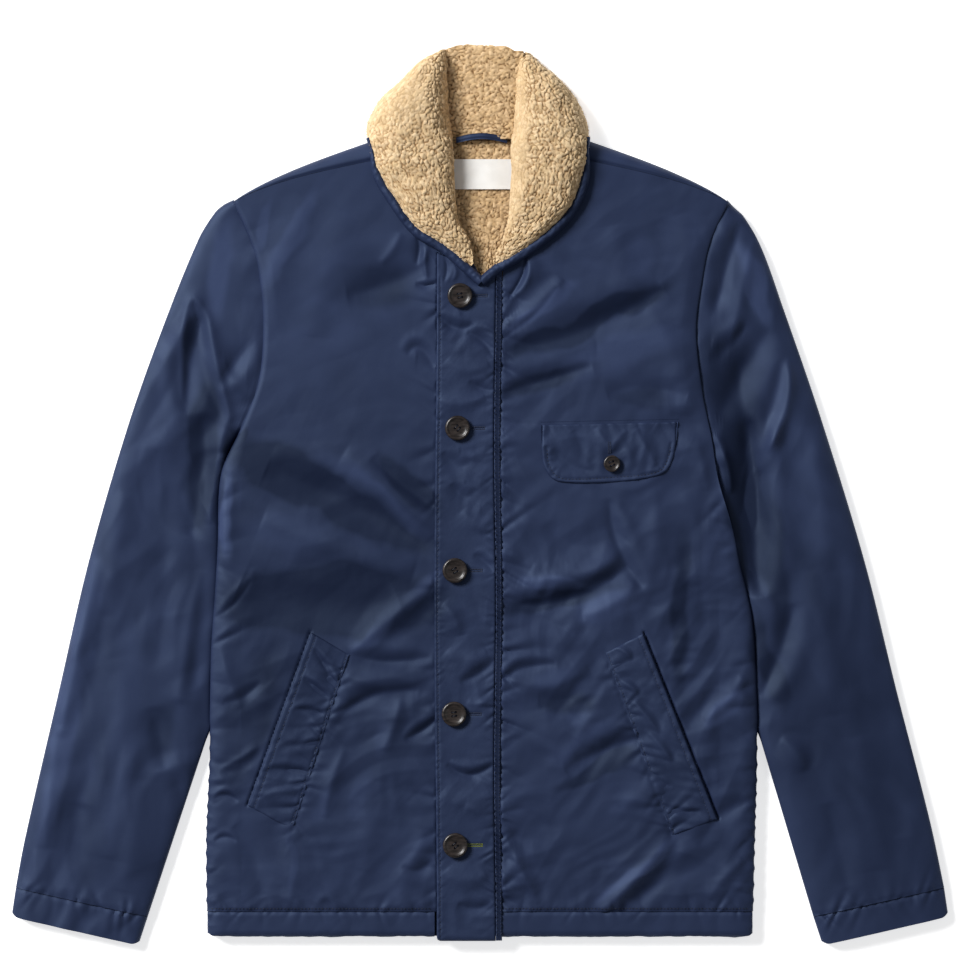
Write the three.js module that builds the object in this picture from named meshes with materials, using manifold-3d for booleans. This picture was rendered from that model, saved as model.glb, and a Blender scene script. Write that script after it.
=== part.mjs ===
// A padded deck jacket with a pile-lined shawl collar, buttoned up and laid flat on its back.
// Millimetres, +Z up. X is measured from the centre front and Y from the hem, towards the collar.
// "right" and "left" are the wearer's: right pieces have negative X. The group is centred at the end.
import * as THREE from 'three'
import { mergeVertices } from 'three/addons/utils/BufferGeometryUtils.js'
import Module from 'manifold-3d'

const wasm = await Module()
wasm.setup()

// Driving dimensions of the cloth and of the way its layers lie on each other
const seamGap = 0.4
const restGap = 0.8
const bodyWall = 8
const sleeveWall = 5.2
const sleeveHeight = 14
const cuffWall = 3.8
const cuffHeight = 11
const hemDepth = 23
const hemWall = 6
const lapWall = 4
const trimWall = 2.4
const bodyPuff = 1.6
const frontBase = bodyWall + seamGap
const frontTop = frontBase + bodyWall
const sideSeamTop = frontBase + 2.2
const sideRoll = 16
const armholeRoll = 10
const backEdgeRise = 4
const backEdgeRoll = 8
const sleeveRoll = 26
const foldFade = 20
const hemRoll = 6
const edgeBlunt = 0.5

// Driving dimensions of the body
const shoulderTipX = 223
const shoulderTipY = 661
const neckPointX = 95
const neckPointY = 699
const backNeckY = 706
const vPointY = 597
const placketLeft = -41
const placketRight = 13
const placketTop = 593
const placketFoot = -3.5
const placketRise = 2.4
const stripWidth = 5.2
const stripRise = 0.8
const underlapRight = 9

// Driving dimensions of the sleeves
const cuffOuterY = 44
const cuffInnerY = 18
const cuffInnerX = 300
const cuffDepth = 26
const sleeveLeavesBodyY = 173

// Driving dimensions of the buttons
const buttonAcross = 22.5
const flapButtonAcross = 15

// The side of the body from hem to shoulder tip: side seam below the armpit, armhole seam above it
const bodyEdge = {
  right: [
    { y: 0, x: 247 }, { y: 87, x: 248 }, { y: 159, x: 245 }, { y: 258, x: 243 }, { y: 303, x: 240 },
    { y: 355, x: 237 }, { y: 400, x: 236 }, { y: 424, x: 232 }, { y: 458, x: 216 }, { y: 502, x: 200 },
    { y: 552, x: 196 }, { y: 598, x: 200 }, { y: 627, x: 208 }, { y: 661, x: 223 },
  ],
  left: [
    { y: 0, x: 246 }, { y: 87, x: 248 }, { y: 159, x: 250 }, { y: 213, x: 249 }, { y: 285, x: 245 },
    { y: 339, x: 233 }, { y: 371, x: 226 }, { y: 412, x: 214 }, { y: 449, x: 208 }, { y: 488, x: 200 },
    { y: 546, x: 194 }, { y: 588, x: 199 }, { y: 626, x: 207 }, { y: 661, x: 223 },
  ],
}
const armpitY = { right: 424, left: 412 }

// The rows of the body's panels: shares of the side seam, then of the armhole, each from below
const sideSeamShares = [0, 0.1, 0.2, 0.32, 0.44, 0.56, 0.68, 0.79, 0.9]
const armholeShares = [0, 0.035, 0.11, 0.28, 0.5, 0.72, 0.89, 0.965, 1]

// The outer edge of each sleeve from cuff to shoulder tip
const sleeveOuterEdge = {
  right: [
    { y: -8, x: 429 }, { y: 22, x: 423 }, { y: 44, x: 419 }, { y: 87, x: 411 }, { y: 222, x: 380 },
    { y: 339, x: 353 }, { y: 463, x: 317 }, { y: 553, x: 285 }, { y: 627, x: 255 }, { y: 652, x: 240 },
    { y: 661, x: 223.8 },
  ],
  left: [
    { y: -8, x: 428 }, { y: 22, x: 422 }, { y: 44, x: 418 }, { y: 105, x: 405 }, { y: 222, x: 375 },
    { y: 339, x: 346 }, { y: 470, x: 306 }, { y: 569, x: 272 }, { y: 619, x: 254 }, { y: 649, x: 238 },
    { y: 661, x: 223.8 },
  ],
}

// The front edge and neckline of each front, by the height on its side edge that each point pairs with
const frontRows = {
  right: [
    { sideY: hemDepth, x: underlapRight, y: hemDepth }, { sideY: 100, x: underlapRight, y: 110 },
    { sideY: 260, x: underlapRight, y: 285 }, { sideY: 400, x: underlapRight, y: 440 },
    { sideY: 502, x: underlapRight, y: 556 }, { sideY: 552, x: 3, y: 597 },
    { sideY: 585, x: -16, y: 621 }, { sideY: 612, x: -43, y: 644 }, { sideY: 637, x: -69, y: 667 },
    { sideY: shoulderTipY, x: -neckPointX, y: neckPointY },
  ],
  left: [
    { sideY: hemDepth, x: 22, y: hemDepth }, { sideY: 100, x: 21, y: 110 },
    { sideY: 260, x: 20.4, y: 285 }, { sideY: 400, x: 20.4, y: 440 },
    { sideY: 502, x: 20.4, y: 556 }, { sideY: 552, x: 20.4, y: 599 },
    { sideY: 585, x: 28, y: 622 }, { sideY: 612, x: 50, y: 643 }, { sideY: 637, x: 73, y: 667 },
    { sideY: shoulderTipY, x: neckPointX, y: neckPointY },
  ],
}

// The largest folds of the fronts: a ridge is positive, a trough negative, and reach is the half width
const frontFolds = [
  { x1: -190, y1: 418, x2: -45, y2: 352, rise: -1.6, reach: 22 },
  { x1: -118, y1: 432, x2: -50, y2: 372, rise: 2, reach: 20 },
  { x1: -192, y1: 372, x2: -75, y2: 336, rise: 2, reach: 18 },
  { x1: -45, y1: 318, x2: -92, y2: 279, rise: 1.8, reach: 14 },
  { x1: -228, y1: 400, x2: -226, y2: 350, rise: 2, reach: 12 },
  { x1: 24, y1: 304, x2: 128, y2: 330, rise: -1.5, reach: 16 },
  { x1: 52, y1: 330, x2: 120, y2: 350, rise: 2, reach: 15 },
  { x1: 142, y1: 66, x2: 108, y2: 30, rise: 1.8, reach: 14 },
  { x1: 24, y1: 555, x2: 70, y2: 590, rise: 1.6, reach: 14 },
]

// The largest folds of the sleeves, in the same columns
const sleeveFolds = [
  { x1: -258, y1: 550, x2: -262, y2: 470, rise: -2, reach: 16 },
  { x1: -246, y1: 556, x2: -230, y2: 470, rise: 1.6, reach: 14 },
  { x1: -350, y1: 300, x2: -385, y2: 160, rise: 1.4, reach: 18 },
  { x1: 232, y1: 640, x2: 210, y2: 560, rise: -1.6, reach: 14 },
  { x1: 262, y1: 540, x2: 220, y2: 470, rise: -1.8, reach: 15 },
  { x1: 272, y1: 506, x2: 252, y2: 440, rise: 1.8, reach: 13 },
]

// Each collar half from the point of the V to the nape: its outer edge, its roll edge and its crest
const collarRows = {
  right: [
    { outerX: -9, outerY: 603, innerX: -6, innerY: 606, crest: 24 },
    { outerX: -31, outerY: 622, innerX: -10, innerY: 626, crest: 28 },
    { outerX: -55, outerY: 637, innerX: -20, innerY: 643, crest: 33 },
    { outerX: -72, outerY: 658, innerX: -23, innerY: 663, crest: 37 },
    { outerX: -91, outerY: 689, innerX: -24, innerY: 689, crest: 40 },
    { outerX: -97, outerY: 709, innerX: -25, innerY: 710, crest: 41 },
    { outerX: -102, outerY: 729, innerX: -27, innerY: 732, crest: 41 },
    { outerX: -92, outerY: 751, innerX: -29, innerY: 754, crest: 39 },
    { outerX: -76, outerY: 767, innerX: -30, innerY: 772, crest: 35 },
    { outerX: -55, outerY: 788, innerX: -31, innerY: 793, crest: 29 },
    { outerX: -40, outerY: 799, innerX: -33, innerY: 802, crest: 24 },
  ],
  left: [
    { outerX: 14, outerY: 605, innerX: 11, innerY: 609, crest: 24 },
    { outerX: 35, outerY: 617, innerX: 20, innerY: 626, crest: 28 },
    { outerX: 62, outerY: 637, innerX: 25, innerY: 646, crest: 33 },
    { outerX: 81, outerY: 659, innerX: 27, innerY: 665, crest: 37 },
    { outerX: 92, outerY: 690, innerX: 28, innerY: 690, crest: 40 },
    { outerX: 95, outerY: 709, innerX: 28, innerY: 710, crest: 41 },
    { outerX: 96, outerY: 730, innerX: 28, innerY: 732, crest: 41 },
    { outerX: 88, outerY: 750, innerX: 29, innerY: 753, crest: 39 },
    { outerX: 77, outerY: 766, innerX: 30, innerY: 769, crest: 35 },
    { outerX: 58, outerY: 783, innerX: 32, innerY: 786, crest: 29 },
    { outerX: 45, outerY: 795, innerX: 37, innerY: 796, crest: 24 },
  ],
}
const collarFoot = 3.4
const collarLift = seamGap + 1.2
const pileEdge = 3
const collarSteps = 16
const rimSteps = 8
const collarBackHeight = 22
const collarTopY = 801
const rimWidth = 5.6
const rimHeight = 6
const rimEdge = 1.2
const tangentStep = 0.1

// The finish of each kind of piece
const finishes = {
  shell: { color: 0x2b3a5a, roughness: 0.42, metalness: 0 },
  fleece: { color: 0xcfae7e, roughness: 0.95, metalness: 0 },
  label: { color: 0xe6e2d8, roughness: 0.8, metalness: 0 },
  button: { color: 0x33291f, roughness: 0.35, metalness: 0 },
}

const sideSign = { right: -1, left: 1 }
const clamp = (value, low, high) => Math.min(Math.max(value, low), high)
const mix = (a, b, t) => a + (b - a) * t
const steps = (count) => Array.from({ length: count + 1 }, (_, i) => i / count)

// A smooth curve through one column of a table, read at a place between the rows of its key column
function readColumn(rows, keyColumn, column, key) {
  const last = rows.length - 1
  let i = 0
  while (i < last - 1 && key > rows[i + 1][keyColumn]) i++
  const slopeAt = (k) => {
    const before = rows[Math.max(k - 1, 0)]
    const after = rows[Math.min(k + 1, last)]
    return (after[column] - before[column]) / (after[keyColumn] - before[keyColumn])
  }
  const span = rows[i + 1][keyColumn] - rows[i][keyColumn]
  const t = clamp((key - rows[i][keyColumn]) / span, 0, 1)
  const rise = rows[i + 1][column] - rows[i][column]
  const start = slopeAt(i) * span - rise
  const end = rise - slopeAt(i + 1) * span
  return rows[i][column] + rise * t + t * (1 - t) * (start * (1 - t) + end * t)
}

const edgeX = (side, y) => readColumn(bodyEdge[side], 'y', 'x', y)

// The height that folds add at a place: each is a soft ridge or trough along a line
function foldHeight(folds, x, y) {
  let height = 0
  for (const fold of folds) {
    const dx = fold.x2 - fold.x1
    const dy = fold.y2 - fold.y1
    const along = clamp(((x - fold.x1) * dx + (y - fold.y1) * dy) / (dx * dx + dy * dy), 0, 1)
    const away = Math.hypot(x - fold.x1 - dx * along, y - fold.y1 - dy * along) / fold.reach
    height += fold.rise * Math.exp(-away * away)
  }
  return height
}

// How far an edge has rolled over at a distance from it: 0 on the edge, 1 where the roll ends
const roll = (distance, reach) => Math.sqrt(1 - (1 - clamp(distance / reach, 0, 1)) ** 2)

// The outer face of the fronts: rolled at the side seams, dipped at the armholes, crowned between
function bodyTop(x, y) {
  const side = x < 0 ? 'right' : 'left'
  const inside = edgeX(side, y) - Math.abs(x)
  const armhole = clamp((y - armpitY[side]) / 40, 0, 1)
  const edgeTop = mix(sideSeamTop, sleeveHeight + 0.6, armhole)
  const crown = bodyPuff * clamp(inside / 90, 0, 1) * clamp((y - hemDepth) / 60, 0, 1)
  const full = Math.max(frontTop + crown + foldHeight(frontFolds, x, y), frontTop + 0.2)
  return mix(edgeTop, full, roll(inside, mix(sideRoll, armholeRoll, armhole)))
}

const bodyInside = (x, y) => Math.max(frontBase, bodyTop(x, y) - bodyWall)

// A closed geometry from its points and triangles, turned so that its faces point out
function closedGeometry(points, triangles) {
  let volume = 0
  for (const [a, b, c] of triangles) {
    volume += points[a].dot(new THREE.Vector3().crossVectors(points[b], points[c])) / 6
  }
  const index = triangles.flatMap(([a, b, c]) => (volume > 0 ? [a, b, c] : [a, c, b]))
  const geometry = new THREE.BufferGeometry().setFromPoints(points)
  geometry.setIndex(index)
  geometry.computeVertexNormals()
  return geometry
}

// The triangles of a grid of points numbered row by row from a first number
function gridTriangles(rowCount, columnCount, first, flipped) {
  const triangles = []
  for (let i = 0; i < rowCount - 1; i++) {
    for (let j = 0; j < columnCount - 1; j++) {
      const a = first + i * columnCount + j
      const corners = [a, a + 1, a + columnCount + 1, a + columnCount]
      const [p, q, r, s] = flipped ? corners.reverse() : corners
      triangles.push([p, q, r], [p, r, s])
    }
  }
  return triangles
}

// A slab of cloth: rows of plan points, with the heights of its upper and lower face over each
function slab(rows, topOf, bottomOf) {
  const rowCount = rows.length
  const columnCount = rows[0].length
  const lift = (heightOf) => rows.flat().map(([x, y]) => new THREE.Vector3(x, y, heightOf(x, y)))
  const points = [...lift(topOf), ...lift(bottomOf)]
  const lower = rowCount * columnCount
  const triangles = [
    ...gridTriangles(rowCount, columnCount, 0, false),
    ...gridTriangles(rowCount, columnCount, lower, true),
  ]
  const border = []
  for (let j = 0; j < columnCount - 1; j++) border.push(j)
  for (let i = 0; i < rowCount - 1; i++) border.push(i * columnCount + columnCount - 1)
  for (let j = columnCount - 1; j > 0; j--) border.push((rowCount - 1) * columnCount + j)
  for (let i = rowCount - 1; i > 0; i--) border.push(i * columnCount)
  border.forEach((a, k) => {
    const b = border[(k + 1) % border.length]
    triangles.push([a, a + lower, b + lower], [a, b + lower, b])
  })
  return closedGeometry(points, triangles)
}

// The wall of a tube, open at both ends, between a stack of outer rings and a stack of inner rings
function tubeWall(outerRings, innerRings) {
  const count = outerRings[0].length
  const points = [...outerRings.flat(), ...innerRings.flat()]
  const inner = outerRings.length * count
  const last = (outerRings.length - 1) * count
  const triangles = []
  const band = (a, b, c, d) => triangles.push([a, b, c], [a, c, d])
  for (let k = 0; k < count; k++) {
    const next = (k + 1) % count
    for (let i = 0; i < last; i += count) {
      band(i + k, i + next, i + count + next, i + count + k)
      band(inner + i + count + k, inner + i + count + next, inner + i + next, inner + i + k)
    }
    band(inner + k, inner + next, next, k)
    band(last + k, last + next, inner + last + next, inner + last + k)
  }
  return closedGeometry(points, triangles)
}

// Rows of plan points between two edges that are read at the same steps
function ruledRows(leftEdge, rightEdge, rowSteps, columnSteps) {
  return rowSteps.map((t) => {
    const [x1, y1] = leftEdge(t)
    const [x2, y2] = rightEdge(t)
    return columnSteps.map((s) => [mix(x1, x2, s), mix(y1, y2, s)])
  })
}

function toSolid(geometry) {
  const bare = geometry.clone()
  bare.deleteAttribute('normal')
  bare.deleteAttribute('uv')
  const merged = mergeVertices(bare, 1e-4)
  return new wasm.Manifold(new wasm.Mesh({
    numProp: 3,
    vertProperties: new Float32Array(merged.attributes.position.array),
    triVerts: new Uint32Array(merged.index.array),
  }))
}

function toGeometry(solid) {
  const mesh = solid.getMesh()
  const geometry = new THREE.BufferGeometry()
  geometry.setAttribute('position', new THREE.BufferAttribute(new Float32Array(mesh.vertProperties), 3))
  geometry.setIndex(new THREE.BufferAttribute(new Uint32Array(mesh.triVerts), 1))
  geometry.computeVertexNormals()
  return geometry
}

// A block between two opposite corners
function block(x1, y1, z1, x2, y2, z2) {
  const geometry = new THREE.BoxGeometry(x2 - x1, y2 - y1, z2 - z1)
  return geometry.translate((x1 + x2) / 2, (y1 + y2) / 2, (z1 + z2) / 2)
}

const jacket = new THREE.Group()

function place(name, geometry, finish) {
  const mesh = new THREE.Mesh(geometry, new THREE.MeshStandardMaterial(finishes[finish]))
  mesh.name = name
  jacket.add(mesh)
  return mesh
}

// The bow of the shoulder seam over the straight line from shoulder tip to neck
const shoulderBow = (s) => 7 * Math.sin(Math.PI * Math.sqrt(s))

// The upper front seam line of a shoulder, from its tip to the neck
function shoulderSeam(side, s) {
  const x = mix(shoulderTipX, neckPointX, s)
  return [sideSign[side] * x, mix(shoulderTipY, neckPointY, s) + shoulderBow(s)]
}

const acrossFront = [0, 0.006, 0.025, 0.07, 0.17, 0.3, 0.44, 0.58, 0.72, 0.87, 1]

// The heights of the panel rows on one side of the body, shared by all that is sewn there
const rowHeights = (side) => [
  ...sideSeamShares.map((share) => mix(hemDepth, armpitY[side], share)),
  ...armholeShares.map((share) => mix(armpitY[side], shoulderTipY, share)),
]

// One front, from side seam and armhole to its front edge and neckline
function frontPanel(side) {
  const rows = rowHeights(side).map((sideY) => {
    const read = (column) => readColumn(frontRows[side], 'sideY', column, sideY)
    const sideX = sideSign[side] * (edgeX(side, sideY) - seamGap / 2)
    const bowShare = clamp((sideY - 560) / (shoulderTipY - 560), 0, 1) ** 2
    return acrossFront.map((s) => [
      mix(sideX, read('x'), s),
      mix(sideY, read('y'), s) + shoulderBow(s) * bowShare,
    ])
  })
  return slab(rows, bodyTop, bodyInside)
}

// The right front runs on under the placket, thinner there, so the placket's bed is cut out of it
function rightFront() {
  const bed = block(placketLeft - 1.8, -50, frontBase + lapWall, 60, placketTop + seamGap, frontTop + 30)
  return toGeometry(toSolid(frontPanel('right')).subtract(toSolid(bed)))
}

const shoulderHeight = 18
const shoulderMiddle = 7
const shoulderWall = 1.2
const shoulderRollStart = 0.2
const shoulderRollEnd = 0.93

// The outer fold line of a shoulder, where the back rolls over to the front
function shoulderFold(side, s) {
  const [x, y] = shoulderSeam(side, s)
  return [x, y + mix(1.6, 19, s)]
}

// The part of the back that rolls over one shoulder and ends at the shoulder seam
function shoulderRoll(side) {
  const rollSteps = [0, 0.3, 0.6, 0.85, 0.97, 1]
  const foldShare = new Map()
  const rows = steps(10).map((t) => {
    const s = mix(shoulderRollStart, shoulderRollEnd, t)
    const [x, seamY] = shoulderSeam(side, s)
    const foldY = shoulderFold(side, s)[1]
    return rollSteps.map((r) => {
      const y = mix(seamY + seamGap, foldY, r)
      foldShare.set(`${x},${y}`, (foldY - y) / (foldY - seamY))
      return [x, y]
    })
  })
  const rolled = (x, y) => roll(foldShare.get(`${x},${y}`), 1)
  const top = (x, y) => mix(shoulderMiddle + shoulderWall / 2, shoulderHeight, rolled(x, y))
  const bottom = (x, y) => mix(shoulderMiddle - shoulderWall / 2, 2, rolled(x, y))
  return slab(rows, top, bottom)
}

// The back: flat on the surface, its sides turned up to the side seams, rolled over the shoulders
function backPanel() {
  const across = [0, 0.008, 0.03, 0.12, 0.27, 0.42, 0.58, 0.73, 0.88, 0.97, 0.992, 1]
  const slope = (x) => (backNeckY - shoulderTipY) * clamp((shoulderTipX - 4 - Math.abs(x)) / 112, 0, 1)
  const leftHeights = rowHeights('left')
  const rows = rowHeights('right').map((y1, i) => {
    const y2 = leftHeights[i]
    const share = clamp((y1 - 550) / (shoulderTipY - 550), 0, 1)
    const x1 = -edgeX('right', y1) + seamGap / 2
    const x2 = edgeX('left', y2) - seamGap / 2
    return across.map((s) => [mix(x1, x2, s), mix(y1, y2, s) + slope(mix(x1, x2, s)) * share])
  })
  const bottom = (x, y) => {
    const inside = edgeX(x < 0 ? 'right' : 'left', Math.min(y, shoulderTipY)) - Math.abs(x)
    return backEdgeRise * (1 - roll(inside - seamGap / 2, backEdgeRoll))
  }
  const flat = toSolid(slab(rows, () => bodyWall, bottom))
  return toGeometry(flat.add(toSolid(shoulderRoll('right'))).add(toSolid(shoulderRoll('left'))))
}

// A stretch of the stitched hem between two places on it
function hemBand(x1, x2, topOf, bottomOf) {
  const rows = [0, 0.15, 0.6, 1].map((t) => steps(14).map((s) => [mix(x1, x2, s), (hemDepth - seamGap) * t]))
  return slab(rows, topOf, bottomOf)
}

function frontHem(x1, x2) {
  const top = (x, y) => {
    const inside = edgeX(x < 0 ? 'right' : 'left', y) - Math.abs(x)
    const height = frontBase + hemWall - 1.8 * (1 - roll(y, hemRoll))
    return mix(sideSeamTop, height, roll(inside, sideRoll))
  }
  return hemBand(x1, x2, top, () => frontBase)
}

function backHem() {
  const bottom = (x, y) => {
    const inside = edgeX(x < 0 ? 'right' : 'left', y) - Math.abs(x)
    return Math.max(backEdgeRise * (1 - roll(inside, backEdgeRoll)), 1.5 * (1 - roll(y, hemRoll)))
  }
  return hemBand(-edgeX('right', 0) + 1, edgeX('left', 0) - 1, () => bodyWall, bottom)
}

// Shares of a sleeve's width from its outer edge to its underarm edge
const acrossSleeve = [0, 0.008, 0.035, 0.11, 0.28, 0.5, 0.72, 0.89, 0.965, 0.992, 1]

// The plan of a sleeve at a share of its length from armhole (0) to cuff (1) and of its width
function sleevePlan(side, t, s) {
  const sign = sideSign[side]
  const outerY = mix(shoulderTipY, cuffOuterY, t)
  const outerX = readColumn(sleeveOuterEdge[side], 'y', 'x', outerY)
  const innerY = mix(armpitY[side], cuffInnerY, t ** 1.5)
  const beside = edgeX(side, Math.max(innerY, sleeveLeavesBodyY)) + seamGap
  const left = clamp((sleeveLeavesBodyY - innerY) / (sleeveLeavesBodyY - cuffInnerY), 0, 1)
  const innerX = mix(beside, cuffInnerX, left)
  const y = mix(outerY, innerY, s)
  const chord = mix(shoulderTipX, edgeX(side, armpitY[side]), s)
  const bow = edgeX(side, mix(shoulderTipY, armpitY[side], s)) - chord
  const x = mix(outerX, innerX, s) + bow * clamp(1 - t / 0.5, 0, 1) ** 2
  const free = restGap * clamp((armpitY[side] - y) / 20, 0, 1)
  const clear = y > sleeveLeavesBodyY ? edgeX(side, Math.min(y, shoulderTipY)) + 2 * seamGap + free : 0
  return [sign * Math.max(x, clear), y]
}

// Two stacks of rings for a flattened tube whose underside is flat
function flatRings(plan, lengthSteps, height, wall, folds) {
  const middle = height / 2
  const outer = []
  const inner = []
  for (const t of lengthSteps) {
    const [x1, y1] = plan(t, 0)
    const [x2, y2] = plan(t, 1)
    const width = Math.hypot(x2 - x1, y2 - y1)
    const inset = wall / width
    const edgeAway = (s) => Math.min(s, 1 - s) * width
    const outerPoint = (s, upper) => {
      const [x, y] = plan(t, s)
      const away = edgeAway(s)
      const crown = (height - middle - edgeBlunt) * roll(away, sleeveRoll)
      const top = middle + edgeBlunt + crown + foldHeight(folds, x, y) * roll(away, foldFade)
      return new THREE.Vector3(x, y, upper ? top : (middle - edgeBlunt) * (1 - roll(away, middle)))
    }
    const innerPoint = (s, upper) => {
      const skin = outerPoint(s, upper)
      const [x, y] = plan(t, mix(inset, 1 - inset, s))
      const z = upper ? Math.max(middle + 0.2, skin.z - wall) : Math.min(middle - 0.2, skin.z + wall)
      return new THREE.Vector3(x, y, z)
    }
    const under = acrossSleeve.slice(0, -1).reverse().slice(0, -1)
    const ring = (point) => [
      ...acrossSleeve.map((s) => point(s, true)),
      ...[1, ...under, 0].map((s) => point(s, false)),
    ]
    outer.push(ring(outerPoint))
    inner.push(ring(innerPoint))
  }
  return [outer, inner]
}

function sleeve(side) {
  const plan = (t, s) => sleevePlan(side, t, s)
  return tubeWall(...flatRings(plan, steps(11), sleeveHeight, sleeveWall, sleeveFolds))
}

// The stitched cuff: the last stretch of the sleeve, from its stitch line to its edge
function cuff(side) {
  const sign = sideSign[side]
  const plan = (t, s) => {
    const [x, y] = sleevePlan(side, 1, s)
    const fall = mix(seamGap, cuffDepth, t)
    return [x + sign * fall * mix(0.15, 0.33, s), y - fall]
  }
  return tubeWall(...flatRings(plan, [0, 0.5, 1], cuffHeight, cuffWall, []))
}

const placketHeight = (x, y) => bodyTop(x, y) + placketRise
const placketBed = frontBase + lapWall + seamGap

// The free edge of the placket and its seam are a little wavy from foot (0) to top (1)
const placketEdge = (t) => placketLeft + seamGap + 1.2 * Math.cos(2 * Math.PI * t)
const placketSeam = (t) => placketRight - 1 + 1.6 * Math.cos(2 * Math.PI * t) ** 2

// The placket: the left front's buttoned edge, lying on the right front
function placketBand() {
  const left = (t) => [placketEdge(t), mix(placketFoot, placketTop, t)]
  const right = (t) => [placketSeam(t), mix(placketFoot, placketTop, t)]
  const rows = ruledRows(left, right, steps(16), [0, 0.1, 0.9, 1])
  const edgeDrop = (away) => 1.2 * (1 - roll(away, 5))
  const top = (x, y) => placketHeight(x, y) - edgeDrop(x - placketLeft) - edgeDrop(y - placketFoot)
  return slab(rows, top, () => placketBed)
}

// The narrow doubled strip where the placket is sewn to the left front
function placketStrip() {
  const left = (t) => [placketSeam(t) + seamGap, mix(placketFoot + 0.5, placketTop - 4, t)]
  const right = (t) => [left(t)[0] + stripWidth, left(t)[1]]
  const rows = ruledRows(left, right, steps(16), [0, 0.5, 1])
  return slab(rows, (x, y) => placketHeight(x, y) + stripRise, () => frontBase + seamGap)
}

// Where the body ends under the collar, its pieces drop to the surface
function collarBase(x, y) {
  return y < backNeckY + 14 ? bodyTop(x, Math.min(y, shoulderTipY)) + collarLift : collarFoot
}

// One half of the pile collar: a thick rolled band, low at its outer edge and high at its roll edge
function collarHalf(side) {
  const table = collarRows[side].map((row, k) => ({ ...row, k }))
  const lastRow = table.length - 1
  const across = [0, 0.04, 0.17, 0.42, 0.68, 0.9, 1]
  const heights = new Map()
  const rows = steps(collarSteps).map((t) => {
    const read = (column) => readColumn(table, 'k', column, t * lastRow)
    return across.map((s) => {
      const x = mix(read('outerX'), read('innerX'), s)
      const y = mix(read('outerY'), read('innerY'), s)
      const base = collarBase(x, y)
      const thin = base + pileEdge
      const dome = Math.sqrt(Math.max(0, 1 - Math.abs(2 * s - 1) ** 2.6))
      heights.set(`${x},${y}`, { base, top: Math.max(thin, mix(thin, read('crest'), dome)) })
      return [x, y]
    })
  })
  return slab(rows, (x, y) => heights.get(`${x},${y}`).top, (x, y) => heights.get(`${x},${y}`).base)
}

// The back of the collar stands up between its two halves, with the pile of its inside showing
function collarBack() {
  const napeY = backNeckY + 12
  const left = (t) => [mix(-25, -31, t) + seamGap, mix(napeY, collarTopY, t)]
  const right = (t) => [mix(27.5, 31, t) - seamGap, mix(napeY, collarTopY - 2, t)]
  const rows = ruledRows(left, right, steps(7), steps(6))
  const top = (x, y) => {
    const napeDrop = 12 * (1 - roll(y - napeY + 2, 60))
    const edgeDrop = 8 * (1 - roll(collarTopY + 2 - y, 16))
    return collarBackHeight - napeDrop - edgeDrop
  }
  return slab(rows, top, () => collarFoot)
}

// The shell side of the collar's back, which lies on the surface
function underCollarBack() {
  const left = (t) => [mix(-91, -40, t ** 2), mix(backNeckY + 2, 795, t)]
  const right = (t) => [mix(88, 44, t ** 2), mix(backNeckY + 2, 793, t)]
  return slab(ruledRows(left, right, steps(8), steps(6)), () => collarFoot - seamGap, () => 0)
}

// The rolled edge of the shell that shows along the outside of each collar half
function collarRim(side) {
  const sign = sideSign[side]
  const table = collarRows[side].map((row, k) => ({ ...row, k }))
  const lastRow = table.length - 1
  const heights = new Map()
  const across = [0, 0.25, 0.5, 0.75, 1]
  const rows = steps(collarSteps).slice(0, rimSteps + 1).map((t) => {
    const at = (shift) => {
      const k = Math.max(t * lastRow + shift, 0)
      return ['outerX', 'outerY'].map((column) => readColumn(table, 'k', column, k))
    }
    const [x, y] = at(0)
    const [x1, y1] = at(-tangentStep)
    const [x2, y2] = at(tangentStep)
    const length = Math.hypot(x2 - x1, y2 - y1)
    const outX = (sign * Math.abs(y2 - y1)) / length
    const outY = -Math.abs(x2 - x1) / length
    return across.map((s) => {
      const out = seamGap + rimWidth * s
      const point = [x + outX * out, y + outY * out]
      const base = bodyTop(point[0], Math.min(point[1], shoulderTipY)) + collarLift
      const dome = Math.sqrt(1 - (2 * s - 1) ** 2)
      heights.set(`${point[0]},${point[1]}`, { base, top: base + mix(rimEdge, rimHeight, dome) })
      return point
    })
  })
  return slab(rows, (x, y) => heights.get(`${x},${y}`).top, (x, y) => heights.get(`${x},${y}`).base)
}

const liningWall = 5
const liningTop = frontBase + liningWall
const loopY = 717
const loopWidth = 5.4
const loopWall = 1.6
const loopArch = { plan: 3.5, lift: 5 }
const loopEnds = [-22, 24]
const labelEnds = [-21, 24]
const labelFootY = 673
const labelTopY = 700
const labelWall = 1

// The pile lining of the inside back, which shows in the neck opening
function neckLining() {
  const edge = (x1, x2) => (t) => [mix(x1, x2, t), mix(vPointY + 18, backNeckY + 11, t)]
  const rows = ruledRows(edge(-5, -23), edge(7, 26), steps(8), steps(5))
  return slab(rows, () => liningTop, () => frontBase)
}

// The hanger loop, a flat tape across the back of the neck
function hangerLoop() {
  const [start, end] = loopEnds
  const arch = (x) => Math.sin((Math.PI * (x - start)) / (end - start))
  const rows = [-0.5, 0.5].map((r) => steps(10).map((s) => {
    const x = mix(start, end, s)
    return [x, loopY + loopArch.plan * arch(x) + loopWidth * r]
  }))
  const lift = (x) => liningTop + seamGap + loopArch.lift * arch(x)
  return slab(rows, (x) => lift(x) + loopWall, (x) => lift(x))
}

function neckLabel() {
  const rows = steps(2).map((t) => steps(6).map((s) => [mix(...labelEnds, s), mix(labelFootY, labelTopY, t)]))
  return slab(rows, () => liningTop + seamGap + labelWall, () => liningTop + seamGap)
}

// A flat piece that lies on a front, built from the front's own height
function appliedPiece(rows, wall) {
  return slab(rows, (x, y) => bodyTop(x, y) + seamGap + wall, (x, y) => bodyTop(x, y) + seamGap)
}

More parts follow.
